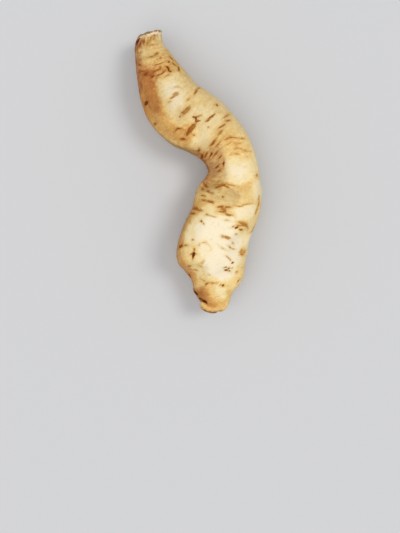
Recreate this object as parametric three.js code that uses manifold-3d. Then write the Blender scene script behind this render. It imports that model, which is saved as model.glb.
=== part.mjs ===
// Sweet potato: one pale-skinned storage root, lying on its back on a level surface.
// Millimetres, +Z up. +Y runs along the root towards the cut neck, and the thin tail is at -Y.
// The root is S-shaped: a thick upper body, a waist in the bend, a full belly and a curled tail.

import * as THREE from 'three';
import { mergeVertices } from 'three/addons/utils/BufferGeometryUtils.js';
import Module from 'manifold-3d';

const wasm = await Module();
wasm.setup();

// The root's centre line from above the cut neck to the tip, with its half width across and
// half depth up and down at each place: [x, y, z, halfWidth, halfDepth].
const ROOT_STATIONS = [
  [-35.4, 118.5, 18.0, 5.6, 5.4],
  [-36.4, 110.5, 19.0, 7.5, 7.0],
  [-37.9, 104.5, 19.5, 10.1, 9.8],
  [-38.2, 97.0, 20.5, 12.4, 12.4],
  [-33.5, 83.0, 21.5, 16.3, 16.2],
  [-27.4, 68.0, 22.0, 20.7, 20.0],
  [-18.8, 52.0, 22.0, 24.0, 22.8],
  [-6.0, 40.6, 23.0, 25.5, 22.8],
  [8.0, 31.2, 23.5, 23.1, 22.0],
  [19.8, 20.5, 22.0, 21.0, 20.5],
  [26.8, 6.5, 19.8, 20.5, 20.8],
  [28.2, -8.0, 22.5, 22.2, 22.0],
  [25.0, -23.0, 24.8, 26.6, 24.0],
  [19.7, -40.0, 25.2, 26.2, 24.8],
  [13.3, -57.0, 24.6, 27.2, 25.6],
  [11.7, -71.0, 23.8, 27.8, 24.0],
  [15.0, -85.0, 22.2, 21.4, 19.4],
  [14.3, -98.0, 20.2, 16.7, 13.8],
  [16.9, -107.2, 19.4, 12.2, 9.8],
  [17.0, -112.0, 19.0, 8.0, 7.0],
];

// The tail leaves the right of the tip and curls left beneath it.
const TAIL_STATIONS = [
  [22.0, -99.0, 19.0, 6.2, 6.2],
  [19.4, -106.8, 20.0, 5.8, 5.8],
  [13.2, -110.0, 22.2, 4.6, 4.8],
  [6.8, -109.4, 23.4, 4.2, 4.4],
  [3.6, -105.2, 24.0, 3.4, 3.8],
];

const ROOT_RINGS = 80;
const ROOT_SIDES = 36;
const TAIL_RINGS = 22;
const TAIL_SIDES = 16;
const ROOT_TIP = 0.13; // share of the centre line over which the root's tip rounds off
const TAIL_TIP = 0.2; // the same for each end of the tail
const TURN_SPAN = 0.03; // share of the centre line, each way, that a section takes its direction from

// The knife goes through the neck at the second station, and leaves its face turned this way.
const CUT_STATION = 1;
const CUT_FACING = [-0.28, 0.96, 0.08];
const CUT_SIZE = 60;

const FLOOR_SLAB = { width: 160, length: 280, depth: 20 };
const UP = new THREE.Vector3(0, 0, 1);

const skin = new THREE.MeshStandardMaterial({
  name: 'skin',
  color: 0xe6cf9c,
  roughness: 0.62,
  metalness: 0,
});

// How far a section is drawn in where an end rounds off: 1 along the length, 0 at the tip.
function rounding(place, startTip, endTip) {
  const intoStart = startTip > 0 ? Math.max(0, (startTip - place) / startTip) : 0;
  const intoEnd = endTip > 0 ? Math.max(0, (place - 1 + endTip) / endTip) : 0;
  return Math.sqrt(1 - Math.max(intoStart, intoEnd) ** 2);
}

// A closed body grown along its stations. A unit lathe gives the rings, and each ring is then
// stretched to its section and stood square across the centre line.
function grow(stations, ringCount, sideCount, startTip, endTip) {
  const centreLine = new THREE.CatmullRomCurve3(
    stations.map(([x, y, z]) => new THREE.Vector3(x, y, z)), false, 'catmullrom');
  const sections = new THREE.CatmullRomCurve3(
    stations.map((station) => new THREE.Vector3(station[3], station[4], 0)), false, 'catmullrom');

  const profile = [new THREE.Vector2(0, 0)];
  for (let ring = 0; ring <= ringCount; ring += 1) {
    profile.push(new THREE.Vector2(1, ring / ringCount));
  }
  profile.push(new THREE.Vector2(0, 1));

  const geometry = new THREE.LatheGeometry(profile, sideCount);
  const positions = geometry.attributes.position;
  profile.forEach(({ x: radius, y: place }, row) => {
    const centre = centreLine.getPoint(place);
    const section = sections.getPoint(place).multiplyScalar(rounding(place, startTip, endTip) * radius);
    const along = centreLine.getPoint(Math.min(1, place + TURN_SPAN))
      .sub(centreLine.getPoint(Math.max(0, place - TURN_SPAN)));
    const across = new THREE.Vector3().crossVectors(UP, along).normalize();
    for (let side = 0; side <= sideCount; side += 1) {
      const angle = (2 * Math.PI * (side % sideCount)) / sideCount;
      const point = centre.clone()
        .addScaledVector(across, section.x * Math.cos(angle))
        .addScaledVector(UP, section.y * Math.sin(angle));
      positions.setXYZ(side * profile.length + row, point.x, point.y, point.z);
    }
  });
  return geometry;
}

// The same closed body as a solid that can be joined and cut.
function solid(geometry) {
  const bare = geometry.clone();
  bare.deleteAttribute('normal');
  bare.deleteAttribute('uv');
  const merged = mergeVertices(bare, 1e-3);
  const corners = Array.from(merged.index.array);
  const triangles = [];
  for (let first = 0; first < corners.length; first += 3) {
    const [a, b, c] = corners.slice(first, first + 3);
    if (a !== b && b !== c && c !== a) triangles.push(a, b, c);
  }
  return new wasm.Manifold(new wasm.Mesh({
    numProp: 3,
    vertProperties: new Float32Array(merged.attributes.position.array),
    triVerts: new Uint32Array(triangles),
  }));
}

// The solid's surface as a geometry with its own normals.
function surface(body) {
  const { vertProperties, triVerts } = body.getMesh();
  const geometry = new THREE.BufferGeometry();
  geometry.setAttribute('position', new THREE.BufferAttribute(vertProperties, 3));
  geometry.setIndex(new THREE.BufferAttribute(triVerts, 1));
  geometry.computeVertexNormals();
  return geometry;
}

// Everything below the surface that the root lies on, so that it rests on small flat places.
function belowFloor() {
  const slab = new THREE.BoxGeometry(FLOOR_SLAB.width, FLOOR_SLAB.length, FLOOR_SLAB.depth);
  slab.translate(0, 0, -FLOOR_SLAB.depth / 2);
  return slab;
}

// Everything beyond the slanting cut through the neck.
function aboveCut() {
  const facing = new THREE.Vector3(...CUT_FACING).normalize();
  const turn = new THREE.Quaternion().setFromUnitVectors(new THREE.Vector3(0, 1, 0), facing);
  const block = new THREE.BoxGeometry(CUT_SIZE, CUT_SIZE, CUT_SIZE);
  block.translate(0, CUT_SIZE / 2, 0);
  block.applyQuaternion(turn);
  block.translate(...ROOT_STATIONS[CUT_STATION].slice(0, 3));
  return block;
}

// The root with its tail, centred over the origin with its underside at height 0.
function sweetPotato() {
  const root = solid(grow(ROOT_STATIONS, ROOT_RINGS, ROOT_SIDES, 0, ROOT_TIP));
  const tail = solid(grow(TAIL_STATIONS, TAIL_RINGS, TAIL_SIDES, TAIL_TIP, TAIL_TIP));
  const whole = surface(root.subtract(solid(aboveCut())).add(tail).subtract(solid(belowFloor())));
  whole.computeBoundingBox();
  const middle = whole.boundingBox.getCenter(new THREE.Vector3());
  whole.translate(-middle.x, -middle.y, 0);
  const mesh = new THREE.Mesh(whole, skin);
  mesh.name = 'sweet_potato';
  return mesh;
}

const group = new THREE.Group();
group.name = 'sweet_potato_part';
group.add(sweetPotato());

export default group;
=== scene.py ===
"""A pale sweet potato root lying on its back, with its skin, marks, cut neck and curled tail."""

import logging
import math
from dataclasses import dataclass, field
from enum import Enum
from functools import cached_property

import bpy
import numpy as np
from mathutils import Matrix, Vector, noise
from mathutils.kdtree import KDTree


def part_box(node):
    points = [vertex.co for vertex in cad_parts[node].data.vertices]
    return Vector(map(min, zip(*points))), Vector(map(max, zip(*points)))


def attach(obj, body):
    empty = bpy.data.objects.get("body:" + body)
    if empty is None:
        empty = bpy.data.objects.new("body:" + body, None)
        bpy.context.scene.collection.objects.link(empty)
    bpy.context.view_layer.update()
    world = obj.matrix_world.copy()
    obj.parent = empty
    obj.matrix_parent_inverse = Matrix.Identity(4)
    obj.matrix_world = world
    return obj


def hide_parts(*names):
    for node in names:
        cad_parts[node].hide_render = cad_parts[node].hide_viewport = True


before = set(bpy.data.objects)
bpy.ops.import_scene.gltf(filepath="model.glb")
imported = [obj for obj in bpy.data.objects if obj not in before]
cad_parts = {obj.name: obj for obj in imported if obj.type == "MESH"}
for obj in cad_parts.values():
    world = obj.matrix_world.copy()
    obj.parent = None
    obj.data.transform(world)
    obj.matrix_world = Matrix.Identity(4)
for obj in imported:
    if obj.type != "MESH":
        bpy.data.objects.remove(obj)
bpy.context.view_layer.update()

logging.basicConfig(level=logging.INFO, format="%(name)s: %(message)s")
log = logging.getLogger("sweet_potato")

MM = 0.001
NODE = "sweet_potato"
BODY = "root"
UP = np.array((0.0, 0.0, 1.0))
WHITE = (1.0, 1.0, 1.0)
PALE_GREY = (0.64, 0.645, 0.66)
TINY = 1e-9

Triple = tuple[float, float, float]
Colour = tuple[float, float, float]


# ---------------------------------------------------------------------------------------------
# Sizes
# ---------------------------------------------------------------------------------------------


@dataclass(frozen=True)
class Station:
    """One place along a centre line: its centre, half width and half depth, in millimetres."""

    x: float
    y: float
    z: float
    half_width: float
    half_depth: float


ROOT_STATIONS = (
    Station(-35.4, 118.5, 18.0, 5.6, 5.4),
    Station(-36.4, 110.5, 19.0, 7.5, 7.0),
    Station(-37.9, 104.5, 19.5, 10.1, 9.8),
    Station(-38.2, 97.0, 20.5, 12.4, 12.4),
    Station(-33.5, 83.0, 21.5, 16.3, 16.2),
    Station(-27.4, 68.0, 22.0, 20.7, 20.0),
    Station(-18.8, 52.0, 22.0, 24.0, 22.8),
    Station(-6.0, 40.6, 23.0, 25.5, 22.8),
    Station(8.0, 31.2, 23.5, 23.1, 22.0),
    Station(19.8, 20.5, 22.0, 21.0, 20.5),
    Station(26.8, 6.5, 19.8, 20.5, 20.8),
    Station(28.2, -8.0, 22.5, 22.2, 22.0),
    Station(25.0, -23.0, 24.8, 26.6, 24.0),
    Station(19.7, -40.0, 25.2, 26.2, 24.8),
    Station(13.3, -57.0, 24.6, 27.2, 25.6),
    Station(11.7, -71.0, 23.8, 27.8, 24.0),
    Station(15.0, -85.0, 22.2, 21.4, 19.4),
    Station(14.3, -98.0, 20.2, 16.7, 13.8),
    Station(16.9, -107.2, 19.4, 12.2, 9.8),
    Station(17.0, -112.0, 19.0, 8.0, 7.0),
)

TAIL_STATIONS = (
    Station(22.0, -99.0, 19.0, 6.2, 6.2),
    Station(19.4, -106.8, 20.0, 5.8, 5.8),
    Station(13.2, -110.0, 22.2, 4.6, 4.8),
    Station(6.8, -109.4, 23.4, 4.2, 4.4),
    Station(3.6, -105.2, 24.0, 3.4, 3.8),
)


class Relief(Enum):
    """What a mark does to the surface, in millimetres outwards at its middle."""

    CORKY = 0.12
    FLAT = 0.0
    SUNKEN = -0.28
    PIT = -0.6
    CREASE = -1.3


class Tone(Enum):
    """How much brown a mark holds: 0 is bare skin and 3 is almost black."""

    BARE = 0.0
    FAINT = 0.35
    TAN = 0.7
    ORANGE = 1.05
    BROWN = 1.5
    DARK = 2.1
    BLACK = 3.0


class Pigment(Enum):
    """What tints the skin in patches, named as the mesh attributes that hold it; each also carries some
    painted shade.
    """

    GOLD_AND_SHADE = "gold"
    DULL_AND_SHADE = "dull"
    RUST_AND_SHADE = "rust"


@dataclass(frozen=True)
class Viewpoint:
    """Where the upper side's features are laid out from, in millimetres.

    They are placed as they fall on a level sheet through the root, seen from this point.
    """

    x: float
    y: float
    height: float
    sheet: float

    def seen(self, points: np.ndarray) -> np.ndarray:
        """Where points fall on the sheet.

        Args:
            points: Places in metres, one row each.

        Returns:
            Their x and y on the sheet, in millimetres.
        """
        spread = (self.height - self.sheet) / (self.height - points[:, 2] / MM)
        x = self.x + (points[:, 0] / MM - self.x) * spread
        y = self.y + (points[:, 1] / MM - self.y) * spread
        return np.column_stack((x, y))


VIEW = Viewpoint(1.6, -76.8, 620.0, 24.0)


@dataclass(frozen=True)
class Mark:
    """A scar, dash or dot on the upper side, as seen from above.

    x and y are its middle and length and width its size, in millimetres. turn is the direction
    of its length in degrees from +X. bend is how far its middle bows to the left of its length.
    """

    x: float
    y: float
    length: float
    width: float
    turn: float
    tone: Tone
    relief: Relief = Relief.SUNKEN
    bend: float = 0.0


@dataclass(frozen=True)
class Line:
    """A thin line or crease through a few points of the upper side, in millimetres."""

    points: tuple[tuple[float, float], ...]
    width: float
    tone: Tone
    relief: Relief = Relief.FLAT


@dataclass(frozen=True)
class Patch:
    """An evenly tinted area of the upper side, inside a smooth closed outline.

    amount is the pigment it holds, soft the width of its faded edge and outline its points,
    in millimetres. Later patches cover earlier ones.
    """

    amount: float
    soft: float
    outline: tuple[tuple[float, float], ...]


@dataclass(frozen=True)
class Ruffle:
    """A round area of the upper side with fine rings across the root, in millimetres."""

    x: float
    y: float
    reach: float
    strength: float


@dataclass(frozen=True)
class Facet:
    """A flattened side: a point of the upper side, the way it faces and how much is pressed in."""

    x: float
    y: float
    facing: Triple
    inset: float
    reach: float = 24.0


@dataclass(frozen=True)
class Lump:
    """A low swelling or hollow: its middle, reach and height, in millimetres."""

    x: float
    y: float
    z: float
    reach: float
    height: float


@dataclass(frozen=True)
class Grain:
    """Random unevenness of the skin, read on the unbent root.

    strength is how large it gets and spacing the millimetres between its ups. stretch squeezes
    it along the root, across it and up: a first number above 1 makes rings, and below 1 fibres.
    """

    strength: float
    spacing: float
    seed: int
    stretch: Triple = (1.0, 1.0, 1.0)

    def read(self, straight: np.ndarray) -> np.ndarray:
        """Read the unevenness at points.

        Args:
            straight: The points of the unbent root, one row each, in metres.

        Returns:
            One value for each point, from about -strength to strength.
        """
        offset = Vector([step * self.seed for step in SEED_STEP])
        scaled = straight * self.stretch / (self.spacing * MM)
        values = (noise.noise(Vector(point) + offset) for point in scaled)
        return self.strength * np.fromiter(values, float, len(scaled))


@dataclass(frozen=True)
class Layer:
    """How one pigment lies on the skin.

    hidden is its least amount on the underside, and islands and flanks are what the uneven areas
    add there. upper is its amount on the upper side where no patch lies, and edge the painted
    shade that the upper side's steep edges add.
    """

    hidden: float
    islands: float
    flanks: float
    upper: float
    edge: float
    patches: tuple[Patch, ...]


SEED_STEP = (17.3, -9.1, 5.7)

# Unevenness of the surface, in millimetres.
BROAD_SWELLS = Grain(0.8, 34.0, 1)
SMALL_SWELLS = Grain(0.5, 15.0, 2)
BUMPS = Grain(0.16, 6.0, 3, (2.0, 1.0, 1.0))
FINE_BUMPS = Grain(0.07, 2.6, 4, (1.6, 1.0, 1.0))
RINGS = Grain(0.24, 13.0, 5, (9.0, 0.8, 0.8))
NECK_FIBRES = Grain(0.35, 1.5, 6, (0.12, 1.0, 1.0))
TORN_RIM = Grain(0.7, 3.0, 7, (0.0, 1.0, 1.0))

# Unevenness of the tints: the underside's golden areas, where the upper side's tints end, and how
# far the edges of its patches wander in millimetres.
ISLANDS = Grain(1.0, 20.0, 11, (0.7, 1.0, 1.0))
FLANKS = Grain(1.0, 26.0, 12, (0.6, 1.0, 1.0))
UPPER_LIMIT = Grain(0.22, 16.0, 13)
PATCH_EDGES = (Grain(2.2, 7.0, 21), Grain(1.9, 2.6, 22))


MARKS = (
    # Upper body.
    Mark(-9.4, 48.2, 9.2, 3.2, 43, Tone.TAN, Relief.CORKY),
    Mark(-8.6, 49.6, 6.0, 2.0, 41, Tone.ORANGE),
    Mark(-12.2, 46.4, 3.6, 1.2, 46, Tone.ORANGE),
    Mark(-13.6, 43.6, 3.4, 1.4, 50, Tone.TAN),
    Mark(-5.2, 33.8, 9.4, 3.6, 46, Tone.ORANGE, Relief.CORKY),
    Mark(-4.4, 34.8, 5.0, 1.2, 46, Tone.BROWN),
    Mark(-8.6, 29.8, 4.2, 2.2, 52, Tone.ORANGE),
    Mark(10.4, 42.8, 8.4, 1.6, 40, Tone.BROWN),
    Mark(7.4, 40.2, 2.6, 1.4, 30, Tone.BROWN),
    Mark(-1.4, 41.6, 4.4, 1.7, -78, Tone.DARK),
    Mark(-2.8, 43.2, 2.6, 1.4, -10, Tone.DARK),
    Mark(0.8, 43.4, 3.6, 1.1, 24, Tone.ORANGE),
    Mark(-0.2, 39.6, 3.8, 1.4, 18, Tone.BROWN),
    Mark(15.2, 52.4, 2.0, 1.6, 60, Tone.ORANGE),
    Mark(8.0, 34.8, 1.4, 1.2, 0, Tone.TAN),
    Mark(-17.8, 61.0, 4.8, 2.6, 32, Tone.TAN, Relief.FLAT),
    Mark(-20.8, 58.6, 4.6, 1.4, 38, Tone.ORANGE, Relief.FLAT),
    Mark(-15.7, 66.5, 4.0, 1.0, -8, Tone.FAINT, Relief.FLAT, 0.5),
    Mark(-22.4, 55.0, 3.0, 1.4, 20, Tone.FAINT, Relief.FLAT),
    Mark(-8.0, 56.7, 3.2, 1.0, 50, Tone.TAN, Relief.FLAT),
    Mark(-1.8, 63.0, 5.4, 1.6, 62, Tone.ORANGE, Relief.FLAT),
    Mark(0.8, 66.2, 2.2, 1.2, 30, Tone.ORANGE),
    Mark(-41.6, 54.0, 3.2, 2.6, 20, Tone.BROWN, Relief.PIT),
    Mark(-34.4, 37.2, 2.8, 1.8, 10, Tone.TAN),
    Mark(-16.0, 32.6, 5.4, 1.4, 14, Tone.ORANGE, Relief.SUNKEN, 0.8),
    Mark(-12.0, 24.9, 4.6, 2.2, -8, Tone.ORANGE),
    Mark(-3.2, 28.4, 1.4, 1.1, 0, Tone.TAN),
    Mark(11.8, 22.2, 6.4, 1.9, 45, Tone.ORANGE, Relief.CORKY),
    Mark(15.9, 20.2, 5.4, 1.2, 45, Tone.TAN, Relief.CORKY),
    Mark(18.8, 35.2, 5.6, 1.4, 36, Tone.ORANGE, Relief.CORKY),
    Mark(18.0, 30.6, 5.4, 1.4, 52, Tone.TAN),
    Mark(24.0, 40.0, 3.6, 1.2, 20, Tone.ORANGE),
    Mark(22.8, 44.0, 5.0, 1.1, 42, Tone.TAN),
    # Inside of the bend.
    Mark(3.2, 11.6, 3.4, 1.8, 62, Tone.ORANGE),
    Mark(6.6, 12.8, 3.0, 1.4, 58, Tone.ORANGE),
    Mark(10.2, 12.6, 3.8, 1.5, 52, Tone.BROWN),
    Mark(14.2, 13.2, 3.6, 1.3, 38, Tone.ORANGE),
    Mark(17.6, 11.0, 3.4, 1.2, 40, Tone.ORANGE),
    Mark(0.4, 16.0, 3.0, 1.1, 70, Tone.ORANGE),
    Mark(20.4, 5.8, 4.0, 1.6, 84, Tone.DARK),
    Mark(15.4, 3.2, 3.6, 1.6, 30, Tone.ORANGE),
    Mark(16.6, -0.6, 3.0, 1.3, 20, Tone.ORANGE),
    # Neck.
    Mark(-24.6, 82.2, 4.6, 1.5, -62, Tone.DARK, Relief.PIT, 0.7),
    Mark(-22.8, 79.6, 2.6, 1.3, -20, Tone.DARK, Relief.PIT),
    Mark(-20.8, 89.2, 3.6, 1.1, -48, Tone.BROWN),
    Mark(-23.0, 86.8, 1.9, 1.4, 0, Tone.BROWN),
    Mark(-33.6, 93.0, 3.6, 1.8, 40, Tone.ORANGE, Relief.FLAT),
    Mark(-30.0, 82.6, 2.2, 1.6, 60, Tone.ORANGE),
    Mark(-41.6, 77.2, 3.4, 2.2, 10, Tone.FAINT),
    Mark(-36.4, 75.6, 2.8, 1.6, 20, Tone.ORANGE),
    Mark(-33.0, 80.6, 7.0, 1.4, 16, Tone.TAN, Relief.SUNKEN, -0.4),
    Mark(-29.2, 78.0, 7.0, 1.0, 34, Tone.ORANGE, Relief.SUNKEN, -0.6),
    Mark(-31.0, 85.8, 5.6, 1.0, 20, Tone.ORANGE),
    Mark(-37.0, 91.0, 4.6, 1.2, 12, Tone.TAN, Relief.FLAT),
    Mark(-39.2, 90.2, 3.4, 0.8, -4, Tone.FAINT),
    Mark(-29.8, 90.6, 2.6, 1.1, 60, Tone.TAN),
    Mark(-44.6, 79.8, 4.0, 1.2, 4, Tone.FAINT),
    Mark(-46.4, 84.2, 3.6, 1.0, -30, Tone.TAN),
    Mark(-37.2, 76.0, 4.2, 1.2, -16, Tone.FAINT),
    Mark(-25.0, 76.0, 4.2, 0.9, 30, Tone.TAN),
    Mark(-18.6, 84.8, 3.0, 1.2, -40, Tone.ORANGE),
    Mark(-16.8, 86.6, 2.4, 1.0, -50, Tone.TAN),
    Mark(-15.4, 81.2, 4.2, 1.9, -82, Tone.ORANGE),
    Mark(-43.4, 104.0, 7.0, 0.9, 80, Tone.TAN),
    Mark(-40.6, 103.2, 7.0, 0.8, 82, Tone.FAINT),
    Mark(-38.0, 105.2, 5.4, 0.8, 80, Tone.TAN),
    Mark(-34.8, 106.6, 4.4, 0.8, 84, Tone.FAINT),
    Mark(-36.6, 101.0, 4.4, 0.9, 10, Tone.FAINT),
    Mark(-45.8, 107.0, 5.0, 1.6, 52, Tone.BROWN, Relief.CORKY),
    Mark(-48.2, 103.2, 5.6, 2.0, 66, Tone.DARK, Relief.CORKY),
    Mark(-46.2, 101.0, 4.6, 1.3, 80, Tone.BROWN, Relief.CORKY),
    # Middle, below the bend.
    Mark(19.2, -11.4, 5.8, 3.0, 10, Tone.TAN, Relief.CORKY),
    Mark(19.8, -11.6, 5.4, 2.4, 8, Tone.ORANGE),
    Mark(16.0, -13.0, 4.2, 1.4, 14, Tone.ORANGE),
    Mark(23.4, -13.0, 4.6, 1.0, -22, Tone.ORANGE),
    Mark(27.6, -12.0, 6.0, 0.8, -10, Tone.TAN),
    Mark(47.4, -3.6, 2.6, 2.0, 60, Tone.TAN),
    Mark(48.6, -22.6, 2.8, 1.2, -84, Tone.ORANGE),
    Mark(46.4, -32.8, 2.4, 1.1, 66, Tone.ORANGE),
    Mark(44.2, -45.8, 3.2, 1.2, 50, Tone.TAN),
    Mark(6.4, -12.2, 6.0, 2.0, -52, Tone.TAN),
    Mark(3.6, -14.6, 5.6, 1.6, -58, Tone.TAN),
    Mark(7.0, -34.8, 2.0, 1.2, -15, Tone.BROWN),
    Mark(8.0, -16.2, 3.6, 1.5, -38, Tone.ORANGE),
    Mark(10.8, -17.6, 2.2, 1.0, -10, Tone.TAN),
    Mark(4.6, -20.2, 3.6, 1.2, -22, Tone.ORANGE),
    Mark(5.0, -23.4, 5.0, 1.8, -14, Tone.TAN),
    Mark(9.6, -25.0, 6.4, 2.0, -18, Tone.ORANGE, Relief.CORKY),
    Mark(20.0, -21.2, 1.8, 1.5, 0, Tone.ORANGE),
    Mark(-2.6, -30.2, 5.0, 2.3, -20, Tone.TAN),
    Mark(-1.0, -30.8, 2.6, 1.2, -20, Tone.ORANGE),
    Mark(1.6, -32.0, 4.2, 1.4, -14, Tone.TAN),
    Mark(-4.6, -34.2, 3.6, 1.4, -20, Tone.ORANGE),
    Mark(17.8, -28.6, 5.4, 1.8, 4, Tone.ORANGE, Relief.CORKY),
    Mark(23.6, -29.4, 5.0, 1.5, 0, Tone.ORANGE, Relief.CORKY),
    Mark(19.6, -31.0, 5.8, 2.0, -24, Tone.TAN, Relief.CORKY),
    Mark(21.2, -32.0, 3.4, 1.2, -20, Tone.ORANGE),
    Mark(18.8, -33.2, 6.0, 1.2, -6, Tone.ORANGE),
    Mark(24.6, -35.6, 6.2, 1.6, -8, Tone.ORANGE),
    # Belly.
    Mark(23.2, -40.0, 3.4, 1.0, -5, Tone.FAINT, Relief.FLAT),
    Mark(35.8, -65.6, 4.6, 3.2, 16, Tone.FAINT, Relief.FLAT),
    Mark(34.8, -67.2, 2.4, 1.4, 0, Tone.ORANGE),
    Mark(37.4, -65.2, 2.2, 1.2, 40, Tone.TAN),
    Mark(35.0, -63.6, 1.8, 1.2, 0, Tone.TAN),
    Mark(2.8, -40.6, 2.2, 1.4, -45, Tone.BROWN),
    Mark(4.4, -42.4, 1.8, 0.9, -60, Tone.ORANGE),
    Mark(35.6, -41.8, 7.2, 1.8, -8, Tone.TAN, Relief.CORKY),
    Mark(37.0, -43.4, 6.8, 2.6, -18, Tone.ORANGE, Relief.CORKY),
    Mark(30.8, -46.0, 2.8, 1.4, 12, Tone.BLACK),
    Mark(34.6, -47.2, 2.5, 1.2, -10, Tone.DARK),
    Mark(28.6, -44.8, 3.0, 0.9, 30, Tone.ORANGE),
    Mark(33.6, -43.8, 3.2, 1.0, -10, Tone.ORANGE),
    Mark(39.6, -45.6, 2.4, 1.0, -50, Tone.ORANGE),
    Mark(43.4, -48.2, 3.0, 1.2, 40, Tone.TAN),
    Mark(30.4, -51.0, 1.8, 1.3, 0, Tone.TAN),
    Mark(20.6, -52.6, 4.0, 1.8, -14, Tone.TAN, Relief.CORKY),
    Mark(23.6, -54.0, 5.4, 2.2, -18, Tone.ORANGE, Relief.CORKY),
    Mark(-4.3, -55.6, 2.0, 1.5, 0, Tone.TAN),
    Mark(5.2, -58.6, 4.6, 1.0, -4, Tone.FAINT, Relief.FLAT, 0.9),
    Mark(1.4, -59.0, 2.4, 1.0, 50, Tone.FAINT, Relief.FLAT),
    Mark(27.8, -58.0, 1.8, 1.1, -40, Tone.TAN),
    Mark(-14.0, -60.8, 3.4, 2.2, 10, Tone.ORANGE),
    Mark(-9.9, -59.8, 2.8, 1.6, 0, Tone.TAN),
    Mark(-3.0, -63.0, 2.0, 1.6, 60, Tone.ORANGE),
    Mark(-3.9, -67.9, 4.8, 2.0, 78, Tone.BLACK, Relief.PIT),
    Mark(-3.6, -66.6, 3.8, 1.3, 0, Tone.DARK),
    Mark(-4.4, -70.2, 2.2, 1.1, 70, Tone.BROWN),
    Mark(20.0, -62.0, 3.4, 0.8, -28, Tone.TAN),
    Mark(25.6, -61.6, 2.8, 1.0, -34, Tone.ORANGE),
    Mark(28.0, -62.8, 2.2, 0.8, -10, Tone.TAN),
    Mark(24.0, -69.4, 3.4, 1.0, -36, Tone.ORANGE),
    Mark(26.0, -71.6, 2.2, 0.9, -60, Tone.TAN),
    Mark(27.9, -74.2, 1.7, 1.4, 0, Tone.BLACK, Relief.PIT),
    Mark(21.9, -77.4, 2.2, 1.2, 10, Tone.DARK),
    Mark(24.8, -78.4, 1.8, 1.5, 60, Tone.BROWN),
    Mark(22.3, -79.6, 2.6, 1.7, -10, Tone.DARK),
    Mark(25.2, -80.5, 1.8, 1.2, 0, Tone.BROWN),
    Mark(27.2, -78.2, 1.4, 1.0, 60, Tone.TAN),
    Mark(3.6, -73.4, 3.4, 1.6, 60, Tone.FAINT, Relief.FLAT),
    Mark(-6.7, -76.4, 2.4, 1.7, 0, Tone.ORANGE),
    Mark(-2.2, -79.6, 3.4, 1.6, -10, Tone.TAN),
    Mark(1.6, -76.4, 2.2, 1.2, -40, Tone.TAN),
    Mark(31.0, -81.2, 1.8, 1.6, 0, Tone.TAN, Relief.FLAT),
    Mark(8.8, -83.6, 1.8, 1.0, 0, Tone.FAINT),
    # Tail end.
    Mark(-6.6, -84.0, 3.8, 1.8, -66, Tone.ORANGE),
    Mark(4.4, -88.0, 2.6, 1.0, -34, Tone.ORANGE),
    Mark(6.8, -90.8, 3.2, 1.8, 40, Tone.ORANGE),
    Mark(12.0, -90.2, 3.6, 1.0, 0, Tone.FAINT),
    Mark(20.4, -92.2, 2.1, 1.5, 40, Tone.BLACK, Relief.PIT),
    Mark(18.2, -91.6, 1.8, 0.9, 30, Tone.TAN),
    Mark(32.6, -88.2, 3.2, 1.2, 58, Tone.ORANGE),
    Mark(-1.9, -98.2, 4.2, 2.6, -40, Tone.BLACK, Relief.PIT),
)

LINES = (
    # The crease between the body and its curled tail, darkened with painted shade.
    Line(((0.8, -102.2), (3.4, -103.9), (5.6, -105.0), (7.6, -106.6)), 1.2, Tone.DARK, Relief.CREASE),
    Line(((7.2, -106.6), (9.0, -107.9), (12.0, -108.2), (15.0, -107.4)), 1.6, Tone.BARE, Relief.SUNKEN),
    # Rings on the outside of the bend.
    Line(((20.8, 24.2), (25.6, 26.6), (32.0, 26.0), (38.0, 25.2)), 0.8, Tone.TAN),
    Line(((23.0, 20.4), (27.0, 22.4), (30.6, 21.6), (34.0, 22.0)), 0.6, Tone.FAINT),
    Line(((28.6, 17.2), (33.0, 17.8), (37.4, 15.8), (42.4, 15.0)), 0.6, Tone.FAINT),
    Line(((25.6, 12.6), (29.6, 13.8), (33.0, 12.8)), 0.5, Tone.FAINT),
    # Thin lines below the bend.
    Line(((28.4, -27.8), (33.6, -28.6), (38.4, -27.0), (43.6, -26.2)), 0.8, Tone.TAN),
    Line(((6.0, -34.8), (10.0, -36.2), (14.6, -37.4)), 0.9, Tone.TAN),
    Line(((48.9, -20.0), (48.8, -25.0), (47.2, -31.0), (45.8, -35.0)), 0.8, Tone.TAN),
)

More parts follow.
